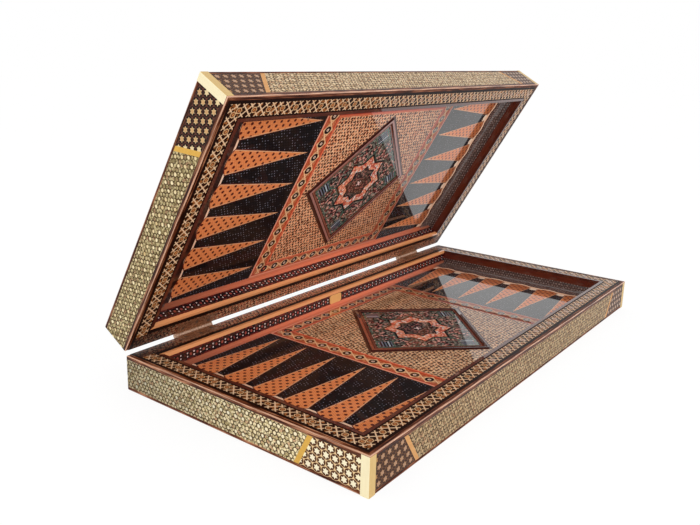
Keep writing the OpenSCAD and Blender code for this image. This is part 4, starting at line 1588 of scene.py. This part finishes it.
@step
class CASE_OT_stage(bpy.types.Operator):
    """Floor, light and the camera of the photograph"""

    bl_idname = "case.stage"
    bl_label = "Stage"

    def execute(self, context):
        self.floor()
        self.lamps(context)
        self.sky(context)
        self.camera(context)
        context.scene.view_settings.view_transform = "Standard"
        return {"FINISHED"}

    def seen_white(self, tree):
        """Term that is 1 for camera, mirror and see-through rays."""
        path = add(tree, "ShaderNodeLightPath").outputs
        kinds = ("Camera", "Glossy", "Transmission")
        camera, glossy, through = [Term(path[f"Is {kind} Ray"]) for kind in kinds]
        return camera.most(glossy).most(through)

    def floor(self):
        """Pale floor that keeps a faint shadow."""
        work = bmesh.new()
        bmesh.ops.create_grid(work, x_segments=1, y_segments=1, size=FLOOR_REACH)
        bmesh.ops.translate(work, verts=work.verts, vec=(0, 0, cad_box[0].z - FLOOR_GAP))
        floor = put("floor", work)
        material = bpy.data.materials.new("pale_floor")
        material.use_nodes = True
        tree = material.node_tree
        shader = tree.nodes["Principled BSDF"]
        feed(shader.inputs["Roughness"], 0.9)
        feed(shader.inputs["Base Color"], (*settings().stage.floor, 1.0))
        glow = add(tree, "ShaderNodeEmission", {"Strength": FLOOR_GLOW}).outputs[0]
        values = {0: self.seen_white(tree) * FLOOR_WHITE, 1: shader.outputs[0], 2: glow}
        blend = add(tree, "ShaderNodeMixShader", values).outputs[0]
        feed(tree.nodes["Material Output"].inputs["Surface"], blend)
        floor.data.materials.append(material)

    def lamps(self, context):
        """Large soft lamps: one from the left, and a low one from the front into the case."""
        stage = settings().stage
        for name, watts, place in (("key", stage.key, KEY_AT), ("fill", stage.fill, FILL_AT)):
            lamp = bpy.data.lights.new(name, "AREA")
            lamp.energy = watts
            lamp.shape = "DISK"
            lamp.size = LAMP_SIZE
            light = bpy.data.objects.new(name, lamp)
            light.location = place
            light.rotation_euler = (AIM - light.location).to_track_quat("-Z", "Y").to_euler()
            light.visible_glossy = False
            context.scene.collection.objects.link(light)

    def sky(self, context):
        """White for the camera and for mirrors, and a plain level of light for the rest."""
        world = bpy.data.worlds.new("studio")
        world.use_nodes = True
        context.scene.world = world
        tree = world.node_tree
        background = tree.nodes["Background"].inputs
        level = settings().stage.sky
        feed(background["Color"], (1, 1, 1, 1))
        strength = self.seen_white(tree).math("MULTIPLY_ADD", 1.0 - level, level)
        feed(background["Strength"], strength)

    def camera(self, context):
        """Camera fitted to the corners of the object in the photograph."""
        lens = bpy.data.cameras.new("camera")
        camera = bpy.data.objects.new("camera", lens)
        turn = Matrix((CAMERA_RIGHT, CAMERA_UP, -CAMERA_AHEAD)).transposed()
        camera.matrix_world = Matrix.Translation(CAMERA_AT) @ turn.to_4x4()
        lens.sensor_width = 36
        lens.lens = FOCAL / PHOTO_W * lens.sensor_width
        lens.shift_x = (PHOTO_W / 2 - LENS_MIDDLE[0]) / PHOTO_W
        lens.shift_y = (LENS_MIDDLE[1] - PHOTO_H / 2) / PHOTO_W
        lens.clip_start = 0.01
        context.scene.collection.objects.link(camera)
        context.scene.camera = camera


class CASE_PT_panel(bpy.types.Panel):
    """Steps and settings of the case"""

    bl_idname = "CASE_PT_panel"
    bl_label = "Backgammon Case"
    bl_space_type = "VIEW_3D"
    bl_region_type = "UI"
    bl_category = "Case"

    def draw(self, context):
        for step in STEPS:
            self.layout.operator(step.bl_idname)
        case = context.scene.backgammon_case
        for group in (case.sizes, case.colours, case.finish, case.stage):
            column = self.layout.box().column()
            for name in group.__annotations__:
                column.prop(group, name)


GROUPS = (InlaySizes, CaseColours, LacquerSettings, StageSettings, CaseSettings)
CLASSES = (*GROUPS, *STEPS, CASE_PT_panel)


def register():
    for kind in CLASSES:
        bpy.utils.register_class(kind)
    bpy.types.Scene.backgammon_case = bpy.props.PointerProperty(type=CaseSettings)


def unregister():
    del bpy.types.Scene.backgammon_case
    for kind in reversed(CLASSES):
        bpy.utils.unregister_class(kind)


def main():
    register()
    for step in STEPS:
        group, name = step.bl_idname.split(".")
        getattr(getattr(bpy.ops, group), name)()


if __name__ == "__main__":
    main()
